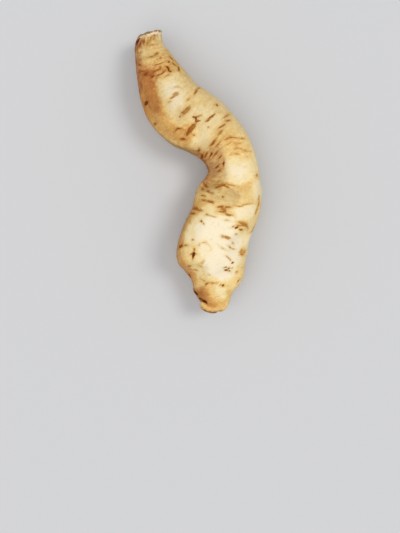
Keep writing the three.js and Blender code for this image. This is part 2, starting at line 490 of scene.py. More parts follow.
GOLD_AND_SHADE_PATCHES = (
    # Neck: tan with a darker left edge, partly painted shade, over a brown ring.
    Patch(0.66, 3.0, (
        (-54, 120), (-24, 120), (-22, 100), (-8, 80), (-2, 72), (-14, 76), (-28, 76), (-38, 78),
        (-54, 78),
    )),
    Patch(0.52, 3.0, ((-45, 97), (-38, 98), (-37, 92), (-38, 87), (-44, 86), (-46, 91))),
    Patch(0.42, 2.5, ((-34, 116), (-26, 116), (-26, 100), (-30, 98), (-32.5, 105))),
    Patch(0.80, 2.5, ((-29, 94), (-22, 95), (-14, 86), (-18, 81), (-26, 84))),
    Patch(1.00, 2.5, (
        (-54, 112), (-46, 110), (-45.5, 100), (-48.5, 92), (-47, 87), (-45, 82), (-54, 82),
    )),
    Patch(0.80, 5.0, (
        (-50, 90), (-42, 88), (-36, 86), (-30, 88), (-24, 90), (-16, 86), (-19, 78), (-50, 78),
    )),
    Patch(1.08, 4.0, (
        (-50, 87), (-45.5, 84.5), (-41, 81.5), (-36, 80), (-30, 81.5), (-25, 84), (-21, 83),
        (-23, 79.5), (-28, 76.5), (-32, 73), (-50, 72),
    )),
    # Left flank of the upper body: orange skin, partly deepened as painted shade on the side away from
    # the key lamp.
    Patch(1.20, 5.0, (
        (-54, 79), (-42, 77), (-33, 74), (-32, 66), (-29.5, 56), (-26, 46), (-32, 41), (-42, 40),
        (-54, 50),
    )),
    Patch(1.46, 4.5, (
        (-44.5, 78), (-37.5, 78.5), (-35.5, 72), (-37, 66), (-40, 62), (-44, 66), (-45.5, 72),
    )),
    Patch(1.38, 3.5, (
        (-43, 72), (-36.5, 70), (-32.5, 58), (-28.5, 46.5), (-31.5, 43.5), (-36, 46), (-41.5, 55),
        (-43, 63),
    )),
    Patch(1.05, 3.5, (
        (-40, 44), (-30, 45), (-22, 40), (-14, 35.5), (-6, 36), (-3, 30), (-6, 24), (-8, 18),
        (-18, 22), (-30, 30), (-40, 38),
    )),
    Patch(0.80, 3.5, (
        (-44, 40), (-36, 35), (-27, 28), (-18, 22), (-8, 18.5), (-2, 18), (6, 13), (-2, 4),
        (-22, 12), (-40, 26),
    )),
    # Pale islands of the upper body.
    Patch(0.46, 3.0, (
        (-32, 73), (-24, 78), (-14, 77), (-8, 69), (-5.5, 60), (-9, 53), (-12, 45), (-12, 39),
        (-18, 42), (-24.5, 46), (-28, 56), (-31.5, 64),
    )),
    Patch(0.14, 4.5, (
        (-29, 69), (-22, 73), (-16, 70), (-12, 64), (-10, 57), (-14, 51), (-18, 47), (-23, 50),
        (-25, 58), (-29, 64),
    )),
    Patch(0.50, 3.5, ((-4, 66), (2, 66), (12, 60), (20, 53), (16, 49), (6, 50), (-2, 51), (-6, 56))),
    Patch(0.31, 3.5, (
        (-4, 51), (8, 50), (17, 47), (20, 41), (14, 37), (10.5, 30), (9, 23), (5, 19.5), (-1, 20.5),
        (-3.5, 25), (0, 31), (2.5, 37), (-1, 42), (-7, 42), (-6, 47),
    )),
    Patch(0.42, 3.5, ((2, 70), (14, 62), (24, 54), (34, 44), (38, 34), (34, 32), (26, 44), (14, 56))),
    # Golden outside and brown inside of the bend.
    Patch(0.68, 3.5, (
        (12, 32), (19, 33), (22, 40), (27, 38), (29, 31), (37, 25), (41, 16), (38, 11.5), (26, 12),
        (20, 13), (11, 18),
    )),
    Patch(0.84, 3.0, ((19, 28), (24, 29), (29, 26.5), (33, 22), (29, 20), (23, 22), (20, 25))),
    Patch(0.30, 3.5, ((32, 42), (38, 34), (43, 24), (45, 15), (46, 2), (58, 0), (58, 34), (40, 52))),
    Patch(0.68, 3.0, (
        (-2, 16), (8, 16), (16, 17), (21, 12), (21, 4), (19.5, -4), (21, -12), (12, -17), (6, -20),
        (0, -26), (-8, -24), (-4, -8), (0, 4),
    )),
    Patch(0.90, 3.0, (
        (-2, 14), (6, 13), (10, 6), (11, -2), (12, -9), (9, -15), (5, -12), (0, -4), (2, 4),
    )),
    Patch(0.30, 3.0, (
        (23, 8), (30, 9), (38, 8), (44, 6), (46, -3), (42, -8), (36, -11), (30, -11), (24, -8),
        (22.5, 0),
    )),
    Patch(0.14, 3.5, ((27, 3), (33, 5), (38, 3), (39, -3), (36, -8), (30, -8), (27, -4))),
    Patch(0.74, 2.5, ((32, -15), (37, -11), (43, -9), (44, -12), (39, -17), (33, -18))),
    Patch(0.20, 3.0, ((46, -10), (54, -9), (56, -24), (46, -21), (43.5, -16))),
    # Band below the bend.
    Patch(0.58, 3.0, (
        (9, -14), (22, -13), (32, -16), (38, -19), (42, -21), (42, -25), (34, -26.5), (24, -26),
        (14, -25), (8, -24), (7, -19),
    )),
    Patch(1.00, 2.0, ((14, -10), (22, -9.5), (25, -12), (21, -14.5), (14, -13.5))),
    Patch(0.92, 3.0, ((-10, -23), (1, -23), (6, -26), (4, -29), (2, -34), (-5, -38), (-16, -36))),
    Patch(0.62, 2.0, ((15, -28), (20, -27), (24, -31), (25, -34), (20, -34), (16, -31))),
    # Pale belly between golden flanks.
    Patch(0.18, 3.0, ((30, -31), (38, -28.5), (46, -29), (47, -32), (42, -38), (36, -39), (30, -37))),
    Patch(0.42, 3.5, (
        (47, -34), (56, -32), (52, -44), (46, -58), (38, -56), (37, -46), (41, -41), (46, -38),
    )),
    Patch(0.34, 2.5, (
        (5, -29), (9, -28.5), (14, -29), (14, -33), (12, -38), (4, -39), (-4, -39), (2, -34),
    )),
    Patch(0.06, 5.0, (
        (6, -38), (14, -36), (22, -37), (30, -36), (31.5, -46), (35, -52), (37, -58), (36, -66),
        (34, -74), (31, -81), (27, -86), (19, -88), (11.5, -86), (5.5, -80.5), (1, -72.5),
        (-0.5, -62), (-4, -53), (-4, -43),
    )),
    Patch(0.15, 4.0, ((-4, -53), (6, -55), (12, -57), (14, -61), (10, -66), (2, -66), (-4, -62))),
    Patch(0.16, 3.5, (
        (-14, -36), (-6, -38), (-4, -46), (-4, -54), (0, -60), (2, -68), (1, -76), (3, -82),
        (2, -86), (-5, -74), (-9, -62), (-13, -50),
    )),
    Patch(0.44, 3.0, ((-12, -56), (-6, -57), (-1, -61), (1.5, -68), (2, -78), (-8, -78), (-14, -68))),
    Patch(0.46, 3.0, (
        (-20, -38), (-6, -39), (-7, -47), (-9, -54), (-9, -62), (-5, -68), (-4, -74), (1, -80),
        (6, -86), (12, -92), (8, -98), (0, -99), (-14, -86), (-24, -66),
    )),
    Patch(0.94, 2.5, (
        (-22, -33), (-5.5, -34), (-7, -42), (-9.5, -50), (-12.5, -58), (-12.5, -64), (-8, -73),
        (-3.5, -80), (0, -86), (4, -90), (8, -94), (5, -98), (0, -101), (-14, -86), (-26, -64),
    )),
    Patch(1.00, 4.5, (
        (-12, -77), (-5, -82), (-2, -88), (1, -93), (5, -97), (2, -100), (-4, -101), (-14, -88),
    )),
    Patch(0.18, 3.5, (
        (37, -54), (42, -52), (50, -50), (48, -60), (42, -82), (34, -86), (36, -78), (37, -70),
        (37, -58),
    )),
    Patch(0.52, 3.0, (
        (31, -77), (36, -75), (44, -72), (40, -86), (32, -98), (24, -96), (24, -91), (29, -85),
    )),
    Patch(0.62, 2.0, ((33.5, -61), (38, -61), (38, -68.5), (33.5, -68))),
    Patch(0.50, 2.5, ((31, -43), (36, -42), (40, -43), (42, -47), (36, -48), (32, -46))),
    # Tail end.
    Patch(0.83, 3.0, (
        (4, -92), (13, -90), (21, -92), (24, -95), (27, -99), (26, -112), (14, -118), (0, -114),
        (4, -104),
    )),
    Patch(0.64, 4.0, (
        (-3, -90), (6, -88), (14, -91), (18, -97), (16, -104), (12, -103), (8, -97), (0, -94),
    )),
    Patch(0.28, 3.0, ((12, -92), (21, -92), (23, -98), (21, -103), (17, -102), (12, -97))),
    Patch(0.62, 3.0, ((24, -101), (29, -98), (33, -94), (32, -104), (24, -114), (21, -110))),
    # Painted shade in the hollow between the hook and the body.
    Patch(1.15, 2.0, (
        (5.5, -101), (8, -103), (10.5, -105), (13, -106.6), (13.5, -108.4), (10, -108.8),
        (7, -106.8),
    )),
    # Orange beside the crease, deepened with painted shade.
    Patch(1.05, 4.5, (
        (-1, -95), (4, -95), (9, -100), (13, -106), (13, -110), (7, -108), (2, -104), (-3, -101),
    )),
    Patch(1.34, 5.0, ((-3, -96), (3, -95.5), (8, -98), (10, -102.5), (7, -105), (2, -102), (-3, -99))),
)

PAINTED_SHADE_PATCHES = (
    # Painted shade over the upper body, the neck and the bend.
    Patch(0.19, 5.0, (
        (-28, 78), (-22, 84), (-10, 90), (56, 56), (42, 34), (24, 26), (12, 20), (2, 22), (-6, 40),
        (-20, 46), (-26, 56),
    )),
    Patch(0.21, 4.0, ((-54, 120), (-24, 120), (-18, 95), (-20, 84), (-34, 87), (-54, 88))),
    Patch(0.10, 5.0, (
        (10, 16), (14, 26), (22, 20), (22, 8), (22, -4), (30, -16), (32, -28), (20, -33), (14, -24),
        (12, -12), (4, 4),
    )),
    Patch(0.20, 4.0, (
        (2, 9), (10, 10), (17, 8), (19, 1), (17, -5), (12, -7), (6, -9), (2, -8), (3, 2),
    )),
    Patch(0.27, 3.0, ((10, -13.5), (20, -12.5), (29, -16), (34, -21), (30, -27), (18, -26), (10, -24))),
    # Painted shade along the left edge of the upper body and inside the bend.
    Patch(0.26, 4.0, (
        (-35, 76), (-27, 78), (-25, 68), (-22, 56), (-14, 50), (-8, 43), (-13, 36), (-24, 43),
        (-30, 54), (-34, 64),
    )),
    Patch(0.40, 3.0, (
        (-42, 36), (-34, 33), (-24, 24.5), (-10, 18.5), (-2, 16), (3, 12), (6, 4), (8, -2), (7, -6),
        (2, -8), (-6, 4), (-24, 12), (-42, 26),
    )),
    # Painted shadow beside the tail's crease and under its hook.
    Patch(0.32, 3.0, (
        (-8, -94), (-4, -94.5), (0, -98), (4, -101.5), (7.5, -105), (4, -106), (-2, -104),
        (-8, -98),
    )),
    Patch(0.90, 1.6, (
        (0, -109), (3, -111.5), (8, -112.8), (16, -112.8), (20, -113), (24, -118), (0, -118),
        (-3, -110),
    )),
)

RUST_AND_SHADE_PATCHES = (
    # Inside of the bend: rusty brown deepened with painted shade.
    Patch(0.28, 4.0, (
        (-4, 16), (8, 15), (16, 18), (20, 14), (22, 6), (20, -4), (14, -7), (8, -10), (0, -8),
        (2, 4),
    )),
    Patch(0.50, 4.0, ((1, 10), (9, 8), (14, 6), (15, 0), (13, -6), (8, -9), (2, -8), (4, 2))),
    # Left edge of the neck and the upper body: orange-brown skin with painted shade at the very edge.
    Patch(0.80, 2.0, ((-52, 111), (-45, 111), (-44.5, 105), (-45.5, 99), (-47, 97), (-52, 101))),
    Patch(0.18, 4.0, (
        (-54, 96), (-47, 96), (-45, 86), (-34, 84), (-30, 76), (-33, 64), (-28, 48), (-34, 42),
        (-46, 46), (-54, 60),
    )),
    Patch(0.36, 5.0, ((-54, 89), (-45, 87), (-38, 82), (-30, 83), (-32, 77), (-40, 75), (-54, 74))),
    Patch(0.55, 2.0, (
        (-54, 100), (-49, 99), (-47.4, 92), (-46.6, 84), (-45.6, 74), (-45, 64), (-54, 62),
    )),
    # Rim of the left belly.
    Patch(0.26, 2.0, (
        (-22, -33), (-6.5, -33), (-8.5, -42), (-11.5, -50), (-13.5, -58), (-13.5, -66), (-9, -74),
        (-4.5, -80), (-2, -86), (-2.5, -91), (-14, -90), (-26, -84),
    )),
    # Hook of the tail: orange beside the crease, and painted shadow at the hook's end and under it.
    Patch(0.22, 5.0, (
        (-6, -93), (2, -94), (7.5, -97), (9, -101), (10, -105), (7, -106), (2, -103.5), (-4, -99),
    )),
    Patch(0.60, 1.6, (
        (0, -107), (3, -110.5), (8, -111.8), (16, -112), (20, -112.4), (24, -118), (0, -118),
        (-3, -110),
    )),
    Patch(0.40, 1.6, (
        (0, -103.5), (3, -104.5), (5, -106.5), (4.5, -109), (6, -111), (1, -112), (-3, -107),
    )),
)

# Each pigment's edge amount is painted shade; the darkening pigment's underside amount and its patches
# are painted shade too.
LAYERS = {
    Pigment.GOLD_AND_SHADE: Layer(0.20, 0.45, 0.45, 0.50, 0.22, GOLD_AND_SHADE_PATCHES),
    Pigment.DULL_AND_SHADE: Layer(0.10, 0.0, 0.10, 0.02, 0.08, PAINTED_SHADE_PATCHES),
    Pigment.RUST_AND_SHADE: Layer(0.0, 0.0, 0.0, 0.0, 0.20, RUST_AND_SHADE_PATCHES),
}

RUFFLES = (
    Ruffle(31.0, 21.0, 12.0, 0.7),
    Ruffle(13.0, 6.0, 12.0, 0.9),
    Ruffle(-34.0, 80.0, 11.0, 0.8),
    Ruffle(-33.0, 90.0, 8.0, 0.5),
    Ruffle(16.0, -22.0, 14.0, 0.7),
    Ruffle(10.0, -97.0, 12.0, 0.4),
)

FACETS = (
    Facet(-41.0, 60.0, (-0.74, -0.30, 0.60), 1.3),
    Facet(-19.0, 60.0, (0.18, 0.12, 0.97), 0.7),
    Facet(4.0, 38.0, (0.06, 0.10, 0.99), 0.5),
    Facet(32.0, 0.0, (0.32, 0.05, 0.95), 0.6),
    Facet(11.0, 2.0, (-0.62, 0.08, 0.78), 0.4),
    Facet(14.0, -62.0, (0.02, 0.0, 1.0), 0.7),
    Facet(35.0, -68.0, (0.64, -0.08, 0.76), 0.8),
    Facet(2.0, -92.0, (-0.66, -0.28, 0.70), 0.8),
    Facet(22.0, -96.0, (0.40, -0.30, 0.87), 0.2),
)

LUMPS = (
    Lump(-25.0, 101.0, 22.0, 6.0, -1.0),
    Lump(4.0, 66.0, 22.0, 4.8, -4.0),
    Lump(20.0, 54.0, 22.0, 10.0, 0.8),
    Lump(-42.0, 43.0, 22.0, 7.0, 0.3),
    Lump(17.0, -112.6, 21.5, 3.0, -0.3),
    Lump(-3.0, -96.6, 20.0, 3.0, 1.0),
    Lump(-4.0, 74.0, 22.0, 6.0, 0.7),
    Lump(51.0, -16.0, 22.0, 5.0, 0.9),
    Lump(47.0, -43.0, 22.0, 6.0, 0.8),
    Lump(50.0, -7.0, 22.0, 5.0, -0.6),
    Lump(31.0, -93.0, 20.0, 5.0, -1.0),
    Lump(-13.0, -53.0, 22.0, 6.0, -0.4),
    Lump(-11.0, -80.5, 22.0, 6.0, -2.6),
    Lump(-11.0, 17.5, 22.0, 5.0, -0.7),
    Lump(8.0, -2.0, 20.0, 6.0, -1.4),
    Lump(3.0, 7.0, 20.0, 5.0, 0.6),
    Lump(35.0, -82.0, 22.0, 8.0, 0.7),
    Lump(44.0, 20.0, 22.0, 9.0, 0.6),
)


# ---------------------------------------------------------------------------------------------
# Geometry helpers
# ---------------------------------------------------------------------------------------------


def deselect_all() -> None:
    """Deselect every object, so that an operator only acts on what is chosen next."""
    bpy.ops.object.select_all(action="DESELECT")


def choose(piece: bpy.types.Object) -> None:
    """Select one object alone and make it the active one.

    Args:
        piece: The object that the next operators act on.
    """
    deselect_all()
    piece.select_set(True)
    bpy.context.view_layer.objects.active = piece


def through(points: np.ndarray, places: np.ndarray) -> np.ndarray:
    """A smooth curve through rows of numbers, read at places from 0 to 1.

    Args:
        points: One row for each station, evenly spaced over the places.
        places: Where along the stations to read the curve.

    Returns:
        One row for each place, on the Catmull-Rom curve through the points.
    """
    last = len(points) - 1
    padded = np.vstack((2 * points[0] - points[1], points, 2 * points[-1] - points[-2]))
    span = np.clip(places * last, 0, last - TINY)
    index = span.astype(int)
    t = (span - index)[:, None]
    before, start, end, after = (padded[index + step] for step in range(4))
    out, back = (end - before) / 2, (after - start) / 2
    return (
        (2 * start - 2 * end + out + back) * t**3
        + (3 * end - 3 * start - 2 * out - back) * t**2
        + out * t
        + start
    )


def closed_through(points: np.ndarray, steps: int = 5) -> np.ndarray:
    """A smooth closed outline through its corner points.

    Args:
        points: The corners, one row each.
        steps: How many short sides stand between two corners.

    Returns:
        The outline's points, without the first repeated.
    """
    count = len(points)
    rounds = np.vstack((points[-2:], points, points[:3]))
    first, last = 2 / (count + 4), (2 + count) / (count + 4)
    return through(rounds, np.linspace(first, last, count * steps, endpoint=False))


def away_from(points: np.ndarray, starts: np.ndarray, ends: np.ndarray) -> tuple[np.ndarray, ...]:
    """How far points are from a chain of straight sides.

    Args:
        points: The points, one row each.
        starts: Where each side starts.
        ends: Where each side ends.

    Returns:
        The distance of each point to its nearest side, and how far along the chain that is,
        from 0 to 1.
    """
    sides = ends - starts
    reach = points[:, None, :] - starts
    along = np.clip((reach * sides).sum(2) / np.maximum((sides**2).sum(1), TINY), 0, 1)
    gaps = np.linalg.norm(reach - along[..., None] * sides, axis=2)
    nearest = gaps.argmin(1)
    rows = np.arange(len(points))
    return gaps[rows, nearest], (nearest + along[rows, nearest]) / len(starts)


def inside_of(points: np.ndarray, outline: np.ndarray) -> np.ndarray:
    """How deep points lie inside a closed outline, below 0 outside it.

    Args:
        points: The points, one row each.
        outline: The outline's points.

    Returns:
        The signed distance of each point to the outline.
    """
    ends = np.roll(outline, -1, axis=0)
    gap, _ = away_from(points, outline, ends)
    x, y = points[:, :1], points[:, 1:]
    crosses = (outline[:, 1] > y) != (ends[:, 1] > y)
    rise = np.where(ends[:, 1] == outline[:, 1], TINY, ends[:, 1] - outline[:, 1])
    meets = outline[:, 0] + (y - outline[:, 1]) * (ends[:, 0] - outline[:, 0]) / rise
    odd = (crosses & (x < meets)).sum(1) % 2 == 1
    return np.where(odd, gap, -gap)


def smoothstep(value: np.ndarray, low: float, high: float) -> np.ndarray:
    """0 below low, 1 above high and a smooth rise between them."""
    t = np.clip((value - low) / (high - low), 0, 1)
    return t * t * (3 - 2 * t)


def unit(vector: Triple | np.ndarray) -> np.ndarray:
    """The same direction with length 1."""
    vector = np.asarray(vector, float)
    return vector / np.linalg.norm(vector)


def opaque(colour: Colour) -> tuple[float, ...]:
    """The colour with a full alpha."""
    return (*colour, 1.0)


@dataclass(frozen=True)
class Growth:
    """A closed body grown along stations, as a root or its tail is.

    The sections stand square across the centre line, and the ends round off over a share of
    its length, given by start_tip and end_tip. tip_gap is the share of such a tip that is left
    off at its very end, and turn_span the share of the length that a heading is read over.
    """

    name: str
    stations: tuple[Station, ...]
    rings: int
    sides: int
    start_tip: float
    end_tip: float
    tip_gap: float = 0.02
    turn_span: float = 0.03

    def table(self) -> np.ndarray:
        """The stations as rows of x, y, z, half width and half depth, in metres."""
        rows = [(s.x, s.y, s.z, s.half_width, s.half_depth) for s in self.stations]
        return np.array(rows) * MM

    def read(self, places: np.ndarray) -> tuple[np.ndarray, np.ndarray, np.ndarray]:
        """Centres, sections and headings along the growth.

        Args:
            places: Where to read, from 0 at the start to 1 at the end.

        Returns:
            The centres, the half widths and half depths, and the directions seen from above as
            angles in radians.
        """
        rows = through(self.table(), places)
        ahead = through(self.table(), np.clip(places + self.turn_span, 0, 1))
        behind = through(self.table(), np.clip(places - self.turn_span, 0, 1))
        along = ahead[:, :3] - behind[:, :3]
        into = np.zeros_like(places)
        if self.start_tip:
            into = np.maximum(into, (self.start_tip - places) / self.start_tip)
        if self.end_tip:
            into = np.maximum(into, (places - 1 + self.end_tip) / self.end_tip)
        round_off = np.sqrt(np.maximum(1 - into**2, 0))[:, None]
        return rows[:, :3], rows[:, 3:] * round_off, np.arctan2(along[:, 1], along[:, 0])

    def build(self) -> bpy.types.Object:
        """Extrude a filled ring from station to station.

        Returns:
            The closed body as an object with its place in its mesh.
        """
        places = np.linspace(0, 1, self.rings)
        places[0] = self.tip_gap * self.start_tip
        places[-1] = 1 - self.tip_gap * self.end_tip
        centres, sections, headings = self.read(places)
        deselect_all()
        bpy.ops.mesh.primitive_circle_add(
            vertices=self.sides,
            radius=1.0,
            fill_type="NGON",
            location=centres[0],
            rotation=(math.pi / 2, 0, headings[0] - math.pi / 2),
        )
        body = bpy.context.object
        body.name = self.name
        body.scale = (sections[0, 0], sections[0, 1], 1)
        bpy.ops.object.transform_apply(location=True, rotation=True, scale=True)
        bpy.ops.object.mode_set(mode="EDIT")
        bpy.ops.mesh.select_all(action="SELECT")
        for step in range(1, self.rings):
            move = centres[step] - centres[step - 1]
            bpy.ops.mesh.extrude_region_move(TRANSFORM_OT_translate={"value": tuple(move)})
            centre = tuple(centres[step])
            turn = math.remainder(headings[step] - headings[step - 1], 2 * math.pi)
            bpy.ops.transform.rotate(value=-turn, orient_axis="Z", center_override=centre)
            wide, deep = sections[step] / sections[step - 1]
            bpy.ops.transform.resize(value=(wide, wide, deep), center_override=centre)
        bpy.ops.mesh.select_all(action="SELECT")
        bpy.ops.mesh.normals_make_consistent(inside=False)
        bpy.ops.object.mode_set(mode="OBJECT")
        return body


# How marks and tints lie on the skin. Lengths are in millimetres. MARK_LEAN is the most that a
# mark climbs for each step sideways, LINE_END a line's width at its ends as a share of its
# middle, and LINE_STEPS the number of straight steps for each of its points.
NO_MARK = -3.0
FACET_EDGE = 0.6
FACET_DEPTH = 6.0
MARK_MARGIN = 3.0
MARK_EDGE = (-0.5, 0.6)
MARK_ENDS, MARK_SIDES, MARK_ROUND = 2.6, 2.2, 2.4
MARK_LEAN = 1.6
LINE_END = 0.35
LINE_STEPS = 6
PATCH_MARGIN = 6.0
PATCH_FADE = 0.8

# How much the root's section is squared, and how far below the cut this fades in and the neck's
# fibres and torn rim fade out, in millimetres.
CORNERS = 0.5
CORNERS_FADE = (0.0, 30.0)
FIBRE_FADE = (2.0, 16.0)
TORN_FADE = (0.5, 5.0)

# Where one kind of skin passes into another, by how far its normal points up or to the right, or
# by the unevenness there. Steep edges get painted shade, strongest on the left side, away from
# the key lamp: RIGHT_SHARE and UNDER_SHARE are the shares of it that the right side and the
# underside keep.
UPPER_FADE = (-0.8, -0.05)
STEEP_FADE = (0.0, 0.4)
LEFT_FADE = (-0.5, 0.5)
ISLAND_FADE = (-0.28, 0.22)
FLANK_FADE = (0.0, 0.4)
RIGHT_SHARE, UNDER_SHARE = 0.3, 0.35

# How far a normal has to point up for a place to be seen, to carry a line or to set a mark's
# lean, and along another normal to share its mark, or out of the cut to be part of its face,
# which is at most CUT_LAYER millimetres deep.
SEEN_FROM_ABOVE = 0.05
LINE_ABOVE = -0.1
LEAN_ABOVE = 0.35
SAME_SIDE = 0.2
OUT_OF_CUT = 0.75
CUT_LAYER = 2.4


@dataclass
class Skin:
    """The root's surface as numbers, with ways to press and tint it.

    Each array has one row for each vertex, in metres. along is the place along the root, angle
    and radius the place round it, forward its direction there, and below_cut the millimetres
    from the neck's cut. height gathers how far each point moves outwards, depth the millimetres
    that it lies inside the nearest mark's edge, tone that mark's brown and seen its place on
    the viewpoint's sheet.
    """

    points: np.ndarray
    normals: np.ndarray
    along: np.ndarray
    angle: np.ndarray
    radius: np.ndarray
    forward: np.ndarray
    below_cut: np.ndarray
    height: np.ndarray = field(init=False)
    depth: np.ndarray = field(init=False)
    tone: np.ndarray = field(init=False)
    seen: np.ndarray = field(init=False)

    def __post_init__(self) -> None:
        """Start with no relief and no mark."""
        self.height = np.zeros(len(self.points))
        self.depth = np.full(len(self.points), NO_MARK)
        self.tone = np.full(len(self.points), Tone.TAN.value)
        self.seen = VIEW.seen(self.points)

    @property
    def straight(self) -> np.ndarray:
        """The points with the root unbent: along its length, across it and up."""
        across, up = self.radius * np.cos(self.angle), self.radius * np.sin(self.angle)
        return np.column_stack((self.along, across, up))

    @cached_property
    def upper(self) -> np.ndarray:
        """1 on the upper side, 0 on the underside and a soft change along the edges."""
        lowered = np.minimum(UPPER_LIMIT.read(self.straight), 0)
        return smoothstep(self.normals[:, 2] + lowered, *UPPER_FADE)

    @cached_property
    def ragged(self) -> np.ndarray:
        """How far the edges of the patches wander, in millimetres."""
        return sum(grain.read(self.straight) for grain in PATCH_EDGES)

    def nearest(self, x: float, y: float) -> int:
        """The vertex of the upper side that is seen at a place on the sheet.

        Args:
            x: The place, in millimetres.
            y: The place, in millimetres.

        Returns:
            The vertex's number.
        """
        gap = np.hypot(self.seen[:, 0] - x, self.seen[:, 1] - y)
        gap[self.normals[:, 2] < SEEN_FROM_ABOVE] = np.inf
        return int(gap.argmin())

    def close_to(self, shape: np.ndarray, reach: float) -> np.ndarray:
        """The vertices that are seen in or near a shape's box.

        Args:
            shape: The shape's points on the sheet, one row each, in millimetres.
            reach: How far round the box to look.

        Returns:
            The vertices' numbers.
        """
        above = (self.seen > shape.min(0) - reach).all(1)
        below = (self.seen < shape.max(0) + reach).all(1)
        return np.flatnonzero(above & below)

    def flatten(self, facet: Facet) -> None:
        """Press a side flat, with a soft edge round it.

        Args:
            facet: The side.
        """
        facing = unit(facet.facing)
        middle = self.points[self.nearest(facet.x, facet.y)]
        away = (self.points - middle) / MM
        over = away @ facing + facet.inset
        kept = -FACET_EDGE * np.logaddexp(0, -over / FACET_EDGE)
        near = 1 - smoothstep(np.linalg.norm(away, axis=1), facet.reach / 2, facet.reach)
        moved = np.where(over > -FACET_DEPTH, kept - over, 0) * near
        self.points += moved[:, None] * facing * MM

    def swell(self, lump: Lump) -> None:
        """Raise a low round swelling, or sink a hollow.

        Args:
            lump: The swelling.
        """
        away = np.linalg.norm(self.points - np.array((lump.x, lump.y, lump.z)) * MM, axis=1)
        self.height += lump.height * MM * np.exp(-((away / (lump.reach * MM)) ** 2))

    def ruffled(self, ruffles: tuple[Ruffle, ...]) -> np.ndarray:
        """How strongly the skin is ringed.

        Args:
            ruffles: The ringed areas.

        Returns:
            The strength at each vertex.
        """
        total = np.zeros(len(self.points))
        for ruffle in ruffles:
            away = np.hypot(self.seen[:, 0] - ruffle.x, self.seen[:, 1] - ruffle.y) / ruffle.reach
            total += ruffle.strength * np.exp(-(away**2)) * self.upper
        return total

    def tint(self, patches: tuple[Patch, ...], ground: np.ndarray) -> np.ndarray:
        """Lay one pigment's patches, one over the other.

        Args:
            patches: The patches of the upper side.
            ground: What the underside holds, and the upper side where no patch lies.

        Returns:
            The pigment at each vertex.
        """
        amount = ground.copy()
        for patch in patches:
            outline = closed_through(np.array(patch.outline, float))
            close = self.close_to(outline, patch.soft + PATCH_MARGIN)
            inside = inside_of(self.seen[close], outline) + self.ragged[close]
            fade = PATCH_FADE * patch.soft
            cover = smoothstep(inside, -fade, fade) * self.upper[close]
            amount[close] += (patch.amount - amount[close]) * cover
        return amount

    def press(self, at: int, long_way: np.ndarray, mark: Mark, stretch: float = 1.0) -> None:
        """Press one mark into the skin.

        Args:
            at: The vertex at the mark's middle.
            long_way: The direction of the mark's length, on the surface.
            mark: The mark.
            stretch: How much longer it is on the surface than it looks from above.
        """
        half_length, half_width = mark.length * stretch / 2, mark.width / 2
        away = (self.points - self.points[at]) / MM
        near = np.flatnonzero(np.abs(away).max(1) < half_length + half_width + MARK_MARGIN)
        away = away[near]
        side_way = np.cross(self.normals[at], long_way)
        u = away @ long_way
        v = away @ side_way - mark.bend * (1 - (u / half_length) ** 2)
        lengthways = (np.abs(u) / half_length) ** MARK_ENDS
        sideways = (np.abs(v) / half_width) ** MARK_SIDES
        inside = (1 - (lengthways + sideways) ** (1 / MARK_ROUND)) * half_width
        same_side = self.normals[near] @ self.normals[at] > SAME_SIDE
        self.stamp(near[same_side], inside[same_side], mark.tone, mark.relief)

    def press_seen(self, mark: Mark) -> None:
        """Press a mark of the upper side, where it is seen.

        Args:
            mark: The mark.
        """
        at = self.nearest(mark.x, mark.y)
        normal = self.normals[at]
        turn = math.radians(mark.turn)
        flat = np.array((math.cos(turn), math.sin(turn), 0.0))
        lean = np.clip(-(flat @ normal) / max(normal[2], LEAN_ABOVE), -MARK_LEAN, MARK_LEAN)
        long_way = flat + UP * lean
        stretch = float(np.linalg.norm(long_way))
        self.press(at, long_way / stretch, mark, stretch)

    def draw(self, line: Line) -> None:
        """Draw a thin line or crease of the upper side.

        Args:
            line: The line.
        """
        knots = np.array(line.points, float)
        course = through(knots, np.linspace(0, 1, LINE_STEPS * len(knots)))
        close = self.close_to(course, line.width + MARK_MARGIN)
        close = close[self.normals[close, 2] > LINE_ABOVE]
        gap, share = away_from(self.seen[close], course[:-1], course[1:])
        fullness = np.sqrt(np.clip(4 * share * (1 - share), 0, 1))
        half_width = line.width / 2 * (LINE_END + (1 - LINE_END) * fullness)
        self.stamp(close, half_width - gap, line.tone, line.relief)

    def stamp(self, rows: np.ndarray, inside: np.ndarray, tone: Tone, relief: Relief) -> None:
        """Keep a mark's depth and brown where it is the nearest, and add its relief.

        Args:
            rows: The vertices near the mark.
            inside: The millimetres that they lie inside its edge.
            tone: The mark's brown.
            relief: What it does to the surface.
        """
        self.height[rows] += relief.value * MM * smoothstep(inside, *MARK_EDGE)
        wins = inside > self.depth[rows]
        self.depth[rows[wins]] = inside[wins]
        self.tone[rows[wins]] = tone.value


